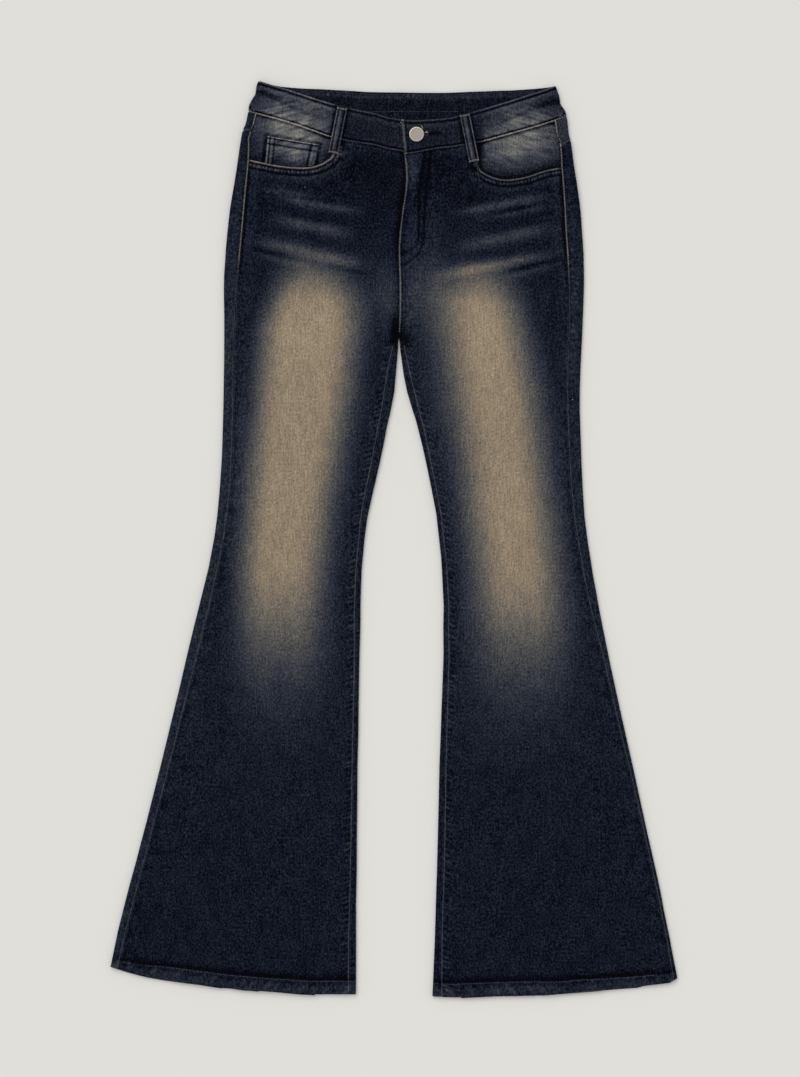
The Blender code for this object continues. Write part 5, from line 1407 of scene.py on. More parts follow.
def make_loop(node, top, bottom, in_front):
    """Shell of a belt loop, folded in three with its long edges sewn down."""
    across = across_line(bottom, top, 1.0)
    t, k = np.meshgrid(np.linspace(0.0, 1.0, LOOP_ROWS), np.linspace(-0.5, 0.5, LOOP_COLUMNS) * LOOP_WIDTH,
                       indexing="ij")
    x = lerp(bottom[0], top[0], t) - across[0] * k
    y = lerp(bottom[1], top[1], t) - across[1] * k
    z = patch_heights(solids[node], np.stack([x, y], axis=-1), in_front)
    from_side = LOOP_WIDTH / 2 - np.abs(k)
    from_end = np.minimum(t, 1.0 - t) * math.dist(top, bottom)
    relief = LOOP_RELIEF * (profile(LOOP_SIDE_RELIEF, from_side) + profile(LOOP_END_RELIEF, from_end))
    relief += 0.0001 * mottle(x, y, 0.010, 19.0)
    z = z + relief if in_front else z + LOOP_SINK - np.minimum(relief, LOOP_SINK)
    outward = np.where(np.abs(x) > abs((top[0] + bottom[0]) / 2), 1.0, LOOP_INNER_EDGE_SHARE)
    wear_and_shading = profile(LOOP_EDGE, from_side) * outward + profile(LOOP_END, from_end)
    wear_and_shading += profile(LOOP_RIB, k) * smooth((from_end - 0.0025) / 0.002)
    wash = LOOP_WASH[in_front] + 0.04 * mottle(x, y, 0.012, 23.0)
    wall, facing = (LOOP_WALL, 1) if in_front else (CLOTH, -1)
    return cloth_shell(node, (x, y, z), wall, facing, nearest(from_side, from_end), wash, wear_and_shading)


# ---- the fly's hidden pieces ------------------------------------------------------------------------
ZIP_TAPE_WALL = 0.0004
ZIP_MIDDLE_X = 0.0118
ZIP_ENDS_Y = (0.336, 0.437)
TOOTH_PITCH = 0.0023
TOOTH_SIZE = (0.0024, 0.0011, 0.0006)
SLIDER_SIZE = (0.0052, 0.0080, 0.0009)
TAB_SIZE = (0.0034, 0.0110, 0.0006)
PLATE_ROWS = 60
PLATE_COLUMNS = 12
PLATE_WASH = 0.14


def make_plate(node, wall, top_z):
    """Shell of a flat strip of cloth inside the fly."""
    solid = solids[node]
    low, high = solid.points[:, 1].min(), solid.points[:, 1].max()
    left = solid.line(1, low, high, innermost(1))
    right = solid.line(1, low, high, outermost(1))
    y = np.repeat(np.linspace(low, high, PLATE_ROWS)[:, None], PLATE_COLUMNS, axis=1)
    x = lerp(left(y), right(y), np.linspace(0.0, 1.0, PLATE_COLUMNS))
    z = top_z - 0.0001 * (1.0 + mottle(x, y, 0.010, 29.0) / 2)
    edge = nearest(from_column(0, x), from_column(-1, x), y - low, high - y)
    return cloth_shell(node, (x, y, z), wall, 1, edge, PLATE_WASH, 0.0, step=2)


def make_block(name, size, place):
    """Small block with softened edges, modelled where it stands."""
    bpy.ops.object.select_all(action="DESELECT")
    bpy.ops.mesh.primitive_cube_add(size=1.0, location=place)
    block = bpy.context.object
    block.name = name
    block.scale = size
    bpy.ops.object.transform_apply(location=False, rotation=False, scale=True)
    bpy.ops.object.mode_set(mode="EDIT")
    bpy.ops.mesh.select_all(action="SELECT")
    bpy.ops.mesh.bevel(offset=min(size) * 0.25, segments=1)
    bpy.ops.object.mode_set(mode="OBJECT")
    return block


def join_in_place(name, parts):
    """Join parts into one piece whose origin is the frame's."""
    bpy.ops.object.select_all(action="DESELECT")
    for part in parts:
        part.select_set(True)
    bpy.context.view_layer.objects.active = parts[0]
    if len(parts) > 1:
        bpy.ops.object.join()
    bpy.ops.object.transform_apply(location=True, rotation=True, scale=True)
    joined = bpy.context.object
    joined.name = name
    joined.data.name = name
    return joined


def make_zip_teeth(tape_z):
    """Two rows of teeth that mesh along the middle of the zip."""
    first = make_block("zip_teeth", TOOTH_SIZE, (0.0, 0.0, 0.0))
    count = 2 * int((ZIP_ENDS_Y[1] - ZIP_ENDS_Y[0]) / TOOTH_PITCH)
    teeth = [first] + [first.copy() for _ in range(count - 1)]
    for tooth in teeth[1:]:
        tooth.data = first.data.copy()
        bpy.context.collection.objects.link(tooth)
    for index, tooth in enumerate(teeth):
        side = -1 if index % 2 else 1
        tooth.location = (ZIP_MIDDLE_X + side * TOOTH_SIZE[0] * 0.36, ZIP_ENDS_Y[0] + index * TOOTH_PITCH / 2,
                          tape_z + TOOTH_SIZE[2] / 2)
    return join_in_place("zip_teeth", teeth)


def make_zip_slider(tape_z):
    """Slider at the top of the zip, with its tab lying down."""
    top = ZIP_ENDS_Y[1] + SLIDER_SIZE[1] * 0.4
    body = make_block("zip_slider", SLIDER_SIZE, (ZIP_MIDDLE_X, top, tape_z + SLIDER_SIZE[2] * 0.4))
    tab = make_block("zip_tab", TAB_SIZE, (ZIP_MIDDLE_X, top - TAB_SIZE[1] * 0.8, tape_z + TOOTH_SIZE[2]))
    return join_in_place("zip_slider", [body, tab])


# ---- the button -------------------------------------------------------------------------------------
BUTTON_HEAD_Z = 0.0086              # underside of the head; the post reaches down from here
BUTTON_POST_RADIUS = 0.0034
BUTTON_DROP = 0.0018                # it sits this far below its solid
BUTTON_RIM = 0.0013
BUTTON_STEP = 0.0004
BUTTON_ROUNDING = 0.0007


def make_button():
    """Plain tack button: a round cap whose rim stands a little above its flat face, on a short post."""
    low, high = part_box("waist_button")
    radius = (high.x - low.x) / 2
    centre_x, centre_y = (low.x + high.x) / 2, (low.y + high.y) / 2 - BUTTON_DROP
    bpy.ops.object.select_all(action="DESELECT")
    bpy.ops.mesh.primitive_cylinder_add(vertices=64, radius=radius, depth=high.z - BUTTON_HEAD_Z,
                                        location=(centre_x, centre_y, (high.z + BUTTON_HEAD_Z) / 2))
    cap = bpy.context.object
    bpy.ops.object.mode_set(mode="EDIT")
    bpy.ops.mesh.select_mode(type="FACE")
    bpy.ops.mesh.select_all(action="DESELECT")
    bpy.ops.object.mode_set(mode="OBJECT")
    for polygon in cap.data.polygons:
        polygon.select = polygon.normal.z > 0.9
    bpy.ops.object.mode_set(mode="EDIT")
    bpy.ops.mesh.inset(thickness=BUTTON_RIM)
    bpy.ops.mesh.inset(thickness=BUTTON_STEP, depth=-BUTTON_STEP)
    bpy.ops.mesh.inset(thickness=BUTTON_STEP)
    bpy.ops.object.mode_set(mode="OBJECT")
    rounding = cap.modifiers.new("rounding", "BEVEL")
    rounding.width = BUTTON_ROUNDING
    rounding.segments = 4
    rounding.limit_method = "ANGLE"
    rounding.angle_limit = math.radians(60.0)
    bpy.ops.object.modifier_apply(modifier=rounding.name)
    bpy.ops.object.select_all(action="DESELECT")
    bpy.ops.mesh.primitive_cylinder_add(vertices=32, radius=BUTTON_POST_RADIUS, depth=BUTTON_HEAD_Z - low.z,
                                        location=(centre_x, centre_y, (BUTTON_HEAD_Z + low.z) / 2))
    button = join_in_place("button_cap", [cap, bpy.context.object])
    button.data.shade_smooth()
    button.data.set_sharp_from_angle(angle=math.radians(35.0))
    on_rim = [float(math.hypot(vertex.co.x - centre_x, vertex.co.y - centre_y) > radius - BUTTON_RIM - 0.0001)
              for vertex in button.data.vertices]
    button.data.attributes.new("rim", "FLOAT", "POINT").data.foreach_set("value", on_rim)
    return button


# ---- sewing -----------------------------------------------------------------------------------------
PITCH = 0.0032              # from one stitch to the next
STITCH = 0.0026
THREAD_RADIUS = 0.00034
TACK_RADIUS = 0.00026
TACK_PITCH = 0.0006
EDGE_ROW = 0.0012           # rows of stitches, from the edges that they hold down
DARK_ROW = 0.0027
SECOND_ROW = 0.0064
HEM_ROW_Y = HEM_Y + HEM_ROW + 0.002
PALE_SEAM_Y = 0.318         # above this the thread along the side seams is paler
STRIP_END_Y = 0.455         # the top of the strips beside the pockets is read here
STITCH_FORM = ((0.0, -0.8), (0.18, 0.1), (0.5, 0.5), (0.82, 0.1), (1.0, -0.8))    # share of length, lift
RING = ((0.7, 0.7), (-0.7, 0.7), (-0.7, -0.7), (0.7, -0.7))
DARK, DIM, PALE, CREAM = -0.10, 0.35, 0.70, 1.00    # shades of the threads
BAND_THREAD = 0.85
COIN_ROWS = (0.0022, 0.0085)
COIN_START_ROWS = (0.0034, 0.0090)
COIN_END_ROWS = (0.0084,)
POCKET_TOP_ROWS = (0.0026, 0.0084)
INNER_BAND_LINE = ((-0.0606, 0.4911), (0.0590, 0.4931))
INNER_BAND_TACKS = ((-0.0931, 0.5101), (-0.0724, 0.5139), (-0.0011, 0.5105), (0.0047, 0.5106))
INNER_BAND_REACH = 0.150
SEAT_SEAM_TOP = 0.4195
LOOSE_THREADS = (           # short light threads: start and end
    ((0.1928, 0.1634), (0.1942, 0.1650)),
    ((-0.1178, 0.4038), (-0.1170, 0.4028)),
    ((-0.0094, 0.4795), (-0.0078, 0.4788)),
    ((0.0145, 0.4763), (0.0168, 0.4717)),
)
BUTTONHOLE_EYE = (0.0208, 0.4664)
BUTTONHOLE_LIPS = ((0.0225, 0.4662), (0.0368, 0.4678))
FLY_TACKS = (((-0.0052, 0.3299), (-0.0016, 0.3299)), ((-0.0046, 0.3162), (-0.0046, 0.3190)))


class Sewing:
    """Stitches gathered into one piece, laid on the dressed cloth from above or from below."""

    def __init__(self, seed, from_above):
        self.draw = random.Random(seed)
        self.up = 1.0 if from_above else -1.0
        self.points = []
        self.faces = []
        self.shades = []

    def stitch(self, cloth, start, end, shade, radius=THREAD_RADIUS):
        """One stitch between two places in plan, whose ends go into the cloth."""
        rings = []
        for share, lift in STITCH_FORM:
            x, y = lerp(start[0], end[0], share), lerp(start[1], end[1], share)
            hit = cloth.ray_cast((x, y, 0.05 * self.up), (0.0, 0.0, -self.up))[0]
            if hit is None:
                return
            rings.append(Vector((x, y, hit.z + self.up * lift * radius)))
        along = (rings[-1] - rings[0]).normalized()
        up = Vector((0.0, 0.0, self.up))
        side = along.cross(up).normalized()
        first = len(self.points)
        self.points.append(rings[0])
        for centre in rings[1:-1]:
            self.points += [centre + side * (radius * a) + up * (radius * b) for a, b in RING]
        self.points.append(rings[-1])
        last = len(self.points) - 1
        for k in range(4):
            after = (k + 1) % 4
            self.faces.append((first, first + 1 + k, first + 1 + after))
            for ring in (first + 1, first + 5):
                self.faces.append((ring + k, ring + 4 + k, ring + 4 + after, ring + after))
            self.faces.append((last, first + 9 + after, first + 9 + k))
        self.shades += [shade + self.draw.uniform(-0.08, 0.05)] * (last - first + 1)

    def row(self, cloth, path, shade, shift=0.0, pitch=PITCH):
        """A row of stitches along a path in plan, moved to the path's left by a shift."""
        places = np.array(path, dtype=float)
        run = np.diff(places, axis=0)
        length = np.hypot(run[:, 0], run[:, 1])
        walked = np.concatenate([[0.0], np.cumsum(length)])
        left = np.stack([-run[:, 1], run[:, 0]], axis=1) / length[:, None]
        left = np.concatenate([left[:1], left[:-1] + left[1:], left[-1:]])
        places = places + left / np.linalg.norm(left, axis=1, keepdims=True) * shift
        for start in np.arange(pitch / 4, walked[-1] - STITCH, pitch):
            ends = [[float(np.interp(along, walked, places[:, k])) for k in (0, 1)]
                    for along in (start, start + STITCH)]
            self.stitch(cloth, *ends, shade)

    def bar_tack(self, cloth, start, end, width, shade):
        """Close threads across a short bar."""
        across = across_line(start, end, width / 2)
        count = max(int(math.dist(start, end) / TACK_PITCH), 2)
        for k in range(count + 1):
            x, y = lerp(start[0], end[0], k / count), lerp(start[1], end[1], k / count)
            ends = [(x + side * across[0], y + side * across[1]) for side in (-1, 1)]
            self.stitch(cloth, *ends, shade, TACK_RADIUS)

    def piece(self, name, material):
        """The stitches as one object."""
        mesh = bpy.data.meshes.new(name)
        mesh.from_pydata(self.points, [], self.faces)
        mesh.attributes.new("shade", "FLOAT", "POINT").data.foreach_set("value", self.shades)
        mesh.shade_smooth()
        mesh.materials.append(material)
        piece = bpy.data.objects.new(name, mesh)
        bpy.context.collection.objects.link(piece)
        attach(piece, "root")
        return piece


def faces_of(pieces):
    """Tree of all the faces of some pieces."""
    points, faces = [], []
    for piece in pieces:
        shift = len(points)
        points += [vertex.co.copy() for vertex in piece.data.vertices]
        faces += [tuple(shift + index for index in polygon.vertices) for polygon in piece.data.polygons]
    return BVHTree.FromPolygons(points, faces)


def up_seam(seam, low, high, shift=0.0):
    """Path up a seam whose X is a function of Y."""
    return [(float(seam(y)) + shift, y) for y in np.arange(low, high, 0.004)]


def along_edge(edge, low, high, shift=0.0):
    """Path along an edge whose Y is a function of X."""
    return [(x, float(edge(x)) + shift) for x in np.arange(min(low, high), max(low, high), 0.003)]


def loop_edges(top, bottom):
    """The two long edges of a belt loop, as start and end places."""
    out = across_line(bottom, top, LOOP_WIDTH / 2 - DARK_ROW)
    return [[(place[0] + k * out[0], place[1] + k * out[1]) for place in (top, bottom)] for k in (-1, 1)]


def sew_loop(sewing, cloth, top, bottom, end_shade):
    """Rows of stitches down a belt loop, and the bar tacks at both ends."""
    for edge in loop_edges(top, bottom):
        sewing.row(cloth, edge, DARK)
    across = across_line(bottom, top, LOOP_WIDTH * 0.36)
    inward = 0.0020 / math.dist(top, bottom)
    for place, other in ((top, bottom), (bottom, top)):
        x, y = lerp(place[0], other[0], inward), lerp(place[1], other[1], inward)
        sewing.bar_tack(cloth, (x - across[0], y - across[1]), (x + across[0], y + across[1]), 0.0018,
                        end_shade)


def sew_leg(sewing, cloth, side):
    """The rows of one leg that show from above: at its seams, its hem and its pocket's opening."""
    inner, outer = float(INNER_SEAM[side](HEM_ROW_Y)), float(side_seam(side, HEM_ROW_Y))
    inner_edge, outer_edge = float(LEG_INNER_EDGE[side](HEM_ROW_Y)), float(LEG_EDGE[side](HEM_ROW_Y))

    def strip_edge(y):
        return side_seam(side, y) + side * (EDGE_ROW + GAP)

    sewing.row(cloth, up_seam(strip_edge, HEM_ROW_Y, PALE_SEAM_Y), DIM)
    sewing.row(cloth, up_seam(strip_edge, PALE_SEAM_Y, 0.486), PALE)
    sewing.row(cloth, up_seam(INNER_SEAM[side], HEM_ROW_Y, CROTCH_Y - 0.008, side * EDGE_ROW), DIM)
    sewing.row(cloth, along_edge(FRONT_HEM[side], inner, outer, HEM_ROW), DIM)
    sewing.row(cloth, along_edge(BACK_HEM[side], outer, outer_edge, HEM_ROW), DIM)
    sewing.row(cloth, along_edge(BACK_HEM[side], inner, inner_edge, HEM_ROW), DIM)
    for row in SCOOP_ROWS:
        sewing.row(cloth, SCOOP_PATH[side][:-10], DARK, side * row * SCOOP_STRETCH[side])
    strip_end = float(side_seam(side, STRIP_END_Y))
    fold = float(LEG_EDGE[side](STRIP_END_Y)) - side * 0.0025
    sewing.row(cloth, along_edge(STRIP_TOP[side], strip_end, fold, -EDGE_ROW), DIM)


def sew_coin_pocket(sewing, cloth):
    """The rows that hold the coin pocket."""
    top_left, top_right, low_right, low_left = COIN_CORNERS
    for row in COIN_ROWS:
        sewing.row(cloth, [top_left, top_right], DARK, -row)
    for row in COIN_START_ROWS:
        sewing.row(cloth, [top_left, low_left], DARK, row)
    for row in COIN_END_ROWS:
        sewing.row(cloth, [top_right, low_right], DARK, -row)


def sew_fly(sewing, cloth):
    """The curved rows of the fly, the seam at the middle below it, and its bar tacks."""
    for path in FLY_ROW_PATHS.values():
        sewing.row(cloth, path, DARK)
    sewing.row(cloth, up_seam(INNER_SEAM[1], CROTCH_Y + 0.004, FLY_TOP_Y, EDGE_ROW), PALE)
    for row in CENTRE_ROWS:
        sewing.row(cloth, up_seam(INNER_SEAM[1], CROTCH_Y + 0.006, FLY_ROWS["outer"][-1][1], row), DARK)
    for start, end in FLY_TACKS:
        sewing.bar_tack(cloth, start, end, 0.0022, DARK)


def sew_band(sewing, cloth):
    """The rows of the waistband in front and inside its back, and the tacks of the loops behind."""
    low, high = front_band_low, BAND_EDGES["front"][1]
    fade_start = WAIST_FADE_START + 0.006
    sewing.row(cloth, along_edge(low, -0.1830, -fade_start, EDGE_ROW), BAND_THREAD)
    sewing.row(cloth, along_edge(low, -fade_start, fade_start, EDGE_ROW), DIM)
    sewing.row(cloth, along_edge(low, fade_start, 0.1815, EDGE_ROW), BAND_THREAD)
    sewing.row(cloth, along_edge(high, -0.1700, 0.1700, -DARK_ROW), DARK)
    lap_end = [(BAND_END_X[k] + DARK_ROW, float(line(BAND_END_X[k]))) for k, line in enumerate((low, high))]
    sewing.row(cloth, lap_end, DIM)
    sewing.row(cloth, along_edge(BAND_EDGES["back"][1], -INNER_BAND_REACH, INNER_BAND_REACH, -DARK_ROW), DIM)
    sewing.row(cloth, INNER_BAND_LINE, DIM)
    for x, y in INNER_BAND_TACKS:
        sewing.bar_tack(cloth, (x, y - 0.0012), (x, y + 0.0012), 0.0012, PALE)


def sew_buttonhole(sewing, cloth):
    """Threads around the buttonhole's eye and along its two lips."""
    centre_x, centre_y = BUTTONHOLE_EYE
    for k in range(16):
        turn = math.radians(40.0 + 20.0 * k)
        ends = [(centre_x + reach * math.cos(turn), centre_y + reach * math.sin(turn))
                for reach in (0.0010, 0.0030)]
        sewing.stitch(cloth, *ends, CREAM if k < 6 else DIM, TACK_RADIUS)
    for side in SIDES:
        lip = [(x, y + side * 0.0014) for x, y in BUTTONHOLE_LIPS]
        sewing.bar_tack(cloth, *lip, 0.0018, DARK + 0.1)


def sew_front(cloth, loops, material):
    """All the stitches that show from above."""
    sewing = Sewing(7, True)
    for side in SIDES:
        sew_leg(sewing, cloth, side)
    sew_coin_pocket(sewing, cloth)
    sew_fly(sewing, cloth)
    sew_band(sewing, cloth)
    sew_buttonhole(sewing, cloth)
    for start, end in LOOSE_THREADS:
        sewing.stitch(cloth, start, end, CREAM)
    for top, bottom in FRONT_LOOPS.values():
        sew_loop(sewing, loops, top, bottom, PALE)
    return sewing.piece("front_stitching", material)


def sew_back(cloth, loops, material):
    """All the stitches that show from below."""
    sewing = Sewing(8, False)
    for side in SIDES:
        inner, outer = float(LEG_INNER_EDGE[side](HEM_ROW_Y)), float(LEG_EDGE[side](HEM_ROW_Y))
        sewing.row(cloth, along_edge(BACK_HEM[side], inner, outer, HEM_ROW), DIM)
        yoke_seam = (side * 0.0030, side * 0.1860)
        sewing.row(cloth, along_edge(BACK_TOP[side], *yoke_seam, EDGE_ROW + GAP), PALE)
        sewing.row(cloth, along_edge(BACK_TOP[side], *yoke_seam, SECOND_ROW + GAP), DIM)
        top_left, low_left, point, low_right, top_right = pocket_corners(side)
        for row in (EDGE_ROW, SECOND_ROW):
            sewing.row(cloth, [top_left, low_left, point, low_right, top_right], PALE, row)
        for row in POCKET_TOP_ROWS:
            sewing.row(cloth, [top_left, top_right], DIM, -row)
        for corner, toward in ((top_left, 1), (top_right, -1)):
            start = (corner[0] + toward * 0.0016, corner[1] - 0.0010)
            sewing.bar_tack(cloth, start, (start[0], start[1] - 0.0070), 0.0018, PALE)
    for row in (EDGE_ROW, SECOND_ROW):
        sewing.row(cloth, up_seam(LEG_INNER_EDGE[1], CROTCH_Y + 0.010, SEAT_SEAM_TOP, row), PALE)
    low, high = BAND_EDGES["back"]
    sewing.row(cloth, along_edge(low, -0.1780, 0.1780, EDGE_ROW), PALE)
    sewing.row(cloth, along_edge(high, -0.1760, 0.1760, -DARK_ROW), DARK)
    for top, bottom in BACK_LOOPS.values():
        sew_loop(sewing, loops, top, bottom, PALE)
    return sewing.piece("back_stitching", material)


# ---- materials --------------------------------------------------------------------------------------
LIGHT_GAIN = 0.92          # a white surface that faces the camera shows this brightness
GLOSS_SHARE = 0.004         # what the cloth's faint gloss adds to its colour
FULL_WASH = 160.0           # brightness, of 255, where the wash is 1


def linear(level):
    """Linear value of an 8-bit screen level."""
    share = level / 255.0
    return share / 12.92 if share <= 0.04045 else ((share + 0.055) / 1.055) ** 2.4


Dye = namedtuple("Dye", "brightness red green blue")
INDIGO_DYES = [             # the colours that denim goes through as its indigo wears off
    Dye(8, 7, 8, 12),
    Dye(16, 15, 16, 24),
    Dye(20, 18, 20, 30),
    Dye(24, 20, 25, 36),
    Dye(32, 28, 32, 43),
    Dye(42, 38, 42, 53),
    Dye(50, 46, 50, 60),
    Dye(58, 56, 58, 65),
    Dye(66, 65, 66, 70),
    Dye(74, 74, 74, 76),
    Dye(82, 83, 82, 81),
    Dye(92, 95, 92, 87),
    Dye(102, 108, 101, 93),
    Dye(112, 121, 111, 99),
    Dye(122, 135, 120, 102),
    Dye(132, 146, 130, 109),
    Dye(142, 155, 140, 119),
    Dye(160, 172, 160, 140),
]
WAIST_DYES = [              # the waist has worn to a cooler grey
    Dye(8, 7, 8, 12),
    Dye(20, 18, 20, 29),
    Dye(32, 29, 32, 41),
    Dye(42, 39, 42, 52),
    Dye(50, 47, 50, 59),
    Dye(58, 55, 58, 66),
    Dye(66, 64, 66, 74),
    Dye(74, 72, 74, 80),
    Dye(82, 80, 82, 87),
    Dye(92, 91, 92, 94),
    Dye(102, 102, 102, 102),
    Dye(112, 113, 112, 106),
    Dye(130, 134, 130, 120),
    Dye(160, 168, 160, 146),
]


def surface_color(red, green, blue):
    """Base colour that shows as the given screen colour under this scene's light."""
    return [max(linear(level) / LIGHT_GAIN - GLOSS_SHARE, 0.0005) for level in (red, green, blue)] + [1.0]


class Nodes:
    """Short calls for building a node tree."""

    def __init__(self, tree):
        self.tree = tree
        self.across = 0

    def add(self, kind, inputs=None, **settings):
        """Add a node, set its properties, and link or set its inputs."""
        node = self.tree.nodes.new(kind)
        node.location = (self.across, 0)
        self.across += 180
        for name, value in settings.items():
            setattr(node, name, value)
        self.fill(node, inputs or {})
        return node

    def fill(self, node, inputs):
        """Link or set a node's inputs."""
        for key, value in inputs.items():
            if isinstance(value, bpy.types.NodeSocket):
                self.tree.links.new(value, node.inputs[key])
            else:
                node.inputs[key].default_value = value

    def math(self, operation, first, second=0.0, third=None):
        """Result of a math node."""
        inputs = {0: first, 1: second}
        if third is not None:
            inputs[2] = third
        return self.add("ShaderNodeMath", inputs, operation=operation).outputs[0]

    def attribute(self, name):
        """A value that the piece carries at its points."""
        return self.add("ShaderNodeAttribute", attribute_name=name).outputs["Fac"]

    def ramp(self, at, colors):
        """Colour between stops, which are pairs of position and colour."""
        node = self.add("ShaderNodeValToRGB", {"Fac": at})
        stops = node.color_ramp.elements
        while len(stops) < len(colors):
            stops.new(0.5)
        for stop, (position, color) in zip(stops, colors):
            stop.position = position
            stop.color = color
        return node.outputs["Color"]

    def bump(self, height, distance, strength):
        """Normal of a surface that a height raises."""
        inputs = {"Height": height, "Distance": distance, "Strength": strength}
        return self.add("ShaderNodeBump", inputs).outputs["Normal"]


def new_group(name, inputs, outputs):
    """Make a node group with named sockets, and return its tree, its inputs and its output node."""
    tree = bpy.data.node_groups.new(name, "ShaderNodeTree")
    for socket, kind, value in inputs:
        made = tree.interface.new_socket(socket, in_out="INPUT", socket_type=kind)
        if value is not None:
            made.default_value = value
    for socket, kind in outputs:
        tree.interface.new_socket(socket, in_out="OUTPUT", socket_type=kind)
    entry = tree.nodes.new("NodeGroupInput")
    leave = tree.nodes.new("NodeGroupOutput")
    return tree, entry, leave


def make_weave_group():
    """Twill weave with the uneven brightness of its yarns, from Object coordinates in metres."""
    number, vector = "NodeSocketFloat", "NodeSocketVector"
    tree, entry, leave = new_group("denim_weave", [("Vector", vector, None), ("Fade", number, 0.0)],
                                   [("Grain", number), ("Height", number)])
    nodes = Nodes(tree)

    def cloudy(size_x, size_y, detail):
        """Noise from -1 to 1 with grains of the given size."""
        stretched = nodes.add("ShaderNodeMapping", {"Vector": entry.outputs["Vector"],
                                                    "Scale": (1 / size_x, 1 / size_y, 1 / size_x)})
        made = nodes.add("ShaderNodeTexNoise", {"Vector": stretched.outputs[0], "Scale": 1.0,
                                                "Detail": detail, "Roughness": 0.55})
        return nodes.math("MULTIPLY_ADD", made.outputs["Fac"], 2.0, -1.0)

    yarns = cloudy(0.0018, 0.0026, 1.0)
    slubs = cloudy(0.0016, 0.0130, 1.0)
    clouds = cloudy(0.0140, 0.0200, 2.0)
    streaks = nodes.math("MULTIPLY", slubs, nodes.math("MULTIPLY_ADD", entry.outputs["Fade"], 0.14, 0.04))
    grain = nodes.math("MULTIPLY_ADD", yarns, 0.24, streaks)
    grain = nodes.math("MULTIPLY_ADD", clouds, 0.05, grain)

    turned = nodes.add("ShaderNodeMapping", {"Vector": entry.outputs["Vector"],
                                             "Rotation": (0.0, 0.0, math.radians(62.0))})
    twill = nodes.add("ShaderNodeTexWave", {"Vector": turned.outputs[0], "Scale": 1 / 0.00070 / 20.0,
                                            "Distortion": 1.2, "Detail": 1.0, "Detail Scale": 4.0},
                      wave_type="BANDS", bands_direction="X")
    height = nodes.math("MULTIPLY_ADD", yarns, 0.6, twill.outputs["Fac"])
    tree.links.new(grain, leave.inputs["Grain"])
    tree.links.new(height, leave.inputs["Height"])
    return tree


WEAVE = make_weave_group()


def new_material(name):
    """A new material, the calls that build its nodes, its shader and its Object coordinates."""
    material = bpy.data.materials.new(name)
    material.use_nodes = True
    nodes = Nodes(material.node_tree)
    place = nodes.add("ShaderNodeTexCoord").outputs["Object"]
    return material, nodes, material.node_tree.nodes["Principled BSDF"], place


THREAD_DYES = [             # shade, and the colour of the thread
    (0.00, (16, 18, 26)),
    (0.35, (66, 70, 80)),
    (0.70, (128, 122, 114)),
    (1.00, (190, 176, 150)),
]


def make_thread():
    """Sewing thread whose colour is each stitch's own shade, a little uneven along it."""
    material, nodes, shader, place = new_material("sewing_thread")
    fuzz = nodes.add("ShaderNodeTexNoise", {"Vector": place, "Scale": 1400.0, "Detail": 1.0}).outputs["Fac"]
    shade = nodes.math("ADD", nodes.attribute("shade"), nodes.math("MULTIPLY_ADD", fuzz, 0.24, -0.12))
    colors = [(position, surface_color(*color)) for position, color in THREAD_DYES]
    nodes.fill(shader, {
        "Base Color": nodes.ramp(shade, colors),
        "Normal": nodes.bump(fuzz, 0.0001, 0.5),
        "Roughness": 0.85,
        "Specular IOR Level": 0.08,
    })
    return material


METAL_FACE = (0.300, 0.262, 0.228, 1.0)
METAL_RIM = (0.560, 0.495, 0.430, 1.0)


def make_metal():
    """Satin champagne metal of the button and the zip, faintly mottled and polished at the button's rim."""
    material, nodes, shader, place = new_material("button_metal")
    mottled = nodes.add("ShaderNodeTexNoise", {"Vector": place, "Scale": 900.0, "Detail": 3.0}).outputs["Fac"]
    polish = nodes.math("ADD", nodes.attribute("rim"), nodes.math("MULTIPLY", mottled, 0.30))
    nodes.fill(shader, {
        "Base Color": nodes.ramp(polish, [(0.0, METAL_FACE), (1.0, METAL_RIM)]),
        "Roughness": nodes.math("MULTIPLY_ADD", mottled, 0.12, 0.36),
        "Normal": nodes.bump(mottled, 0.00003, 0.4),
        "Metallic": 1.0,
    })
    return material


def make_denim(name, dyes):
    """Denim whose brightness is the piece's own wash, rubbed pale places and painted shade, broken up by its
    weave.
    """
    material, nodes, shader, place = new_material(name)
    wash = nodes.attribute("wash")
    weave = nodes.add("ShaderNodeGroup", {"Vector": place, "Fade": wash}, node_tree=WEAVE)
    # the second attribute adds the pale rubbed places and the painted shade to the wash
    shade = nodes.math("ADD", nodes.math("ADD", wash, nodes.attribute("wear_and_shade")), weave.outputs["Grain"])
    colors = [(dye.brightness / FULL_WASH, surface_color(dye.red, dye.green, dye.blue)) for dye in dyes]
    nodes.fill(shader, {
        "Base Color": nodes.ramp(shade, colors),
        "Normal": nodes.bump(weave.outputs["Height"], 0.00022, 0.6),
        "Roughness": 0.92,
        "Specular IOR Level": 0.05,
        "Sheen Weight": 0.02,
        "Sheen Roughness": 0.5,
    })
    return material


# ---- the floor, the light and the camera ------------------------------------------------------------
FLOOR_Z = -0.0006           # the stitches underneath stand out a little
FLOOR_COLOR = (0.810, 0.802, 0.762, 1.0)
CAMERA_DISTANCE = 3.0
CAMERA_HEIGHT_SEEN = 1.2386     # metres of the garment's plane from the picture's top to its bottom
SENSOR = 36.0
PICTURE_CENTRE = (-0.00175, 0.00154)
PICTURE_TURN = math.radians(0.959)
SKY_SHARE = 0.62
SUN_SHARE = 0.30
SUN_TILT = math.radians(38.0)
SUN_HEADING = math.radians(35.0)    # the sun is at the picture's upper left
SUN_ANGLE = math.radians(50.0)


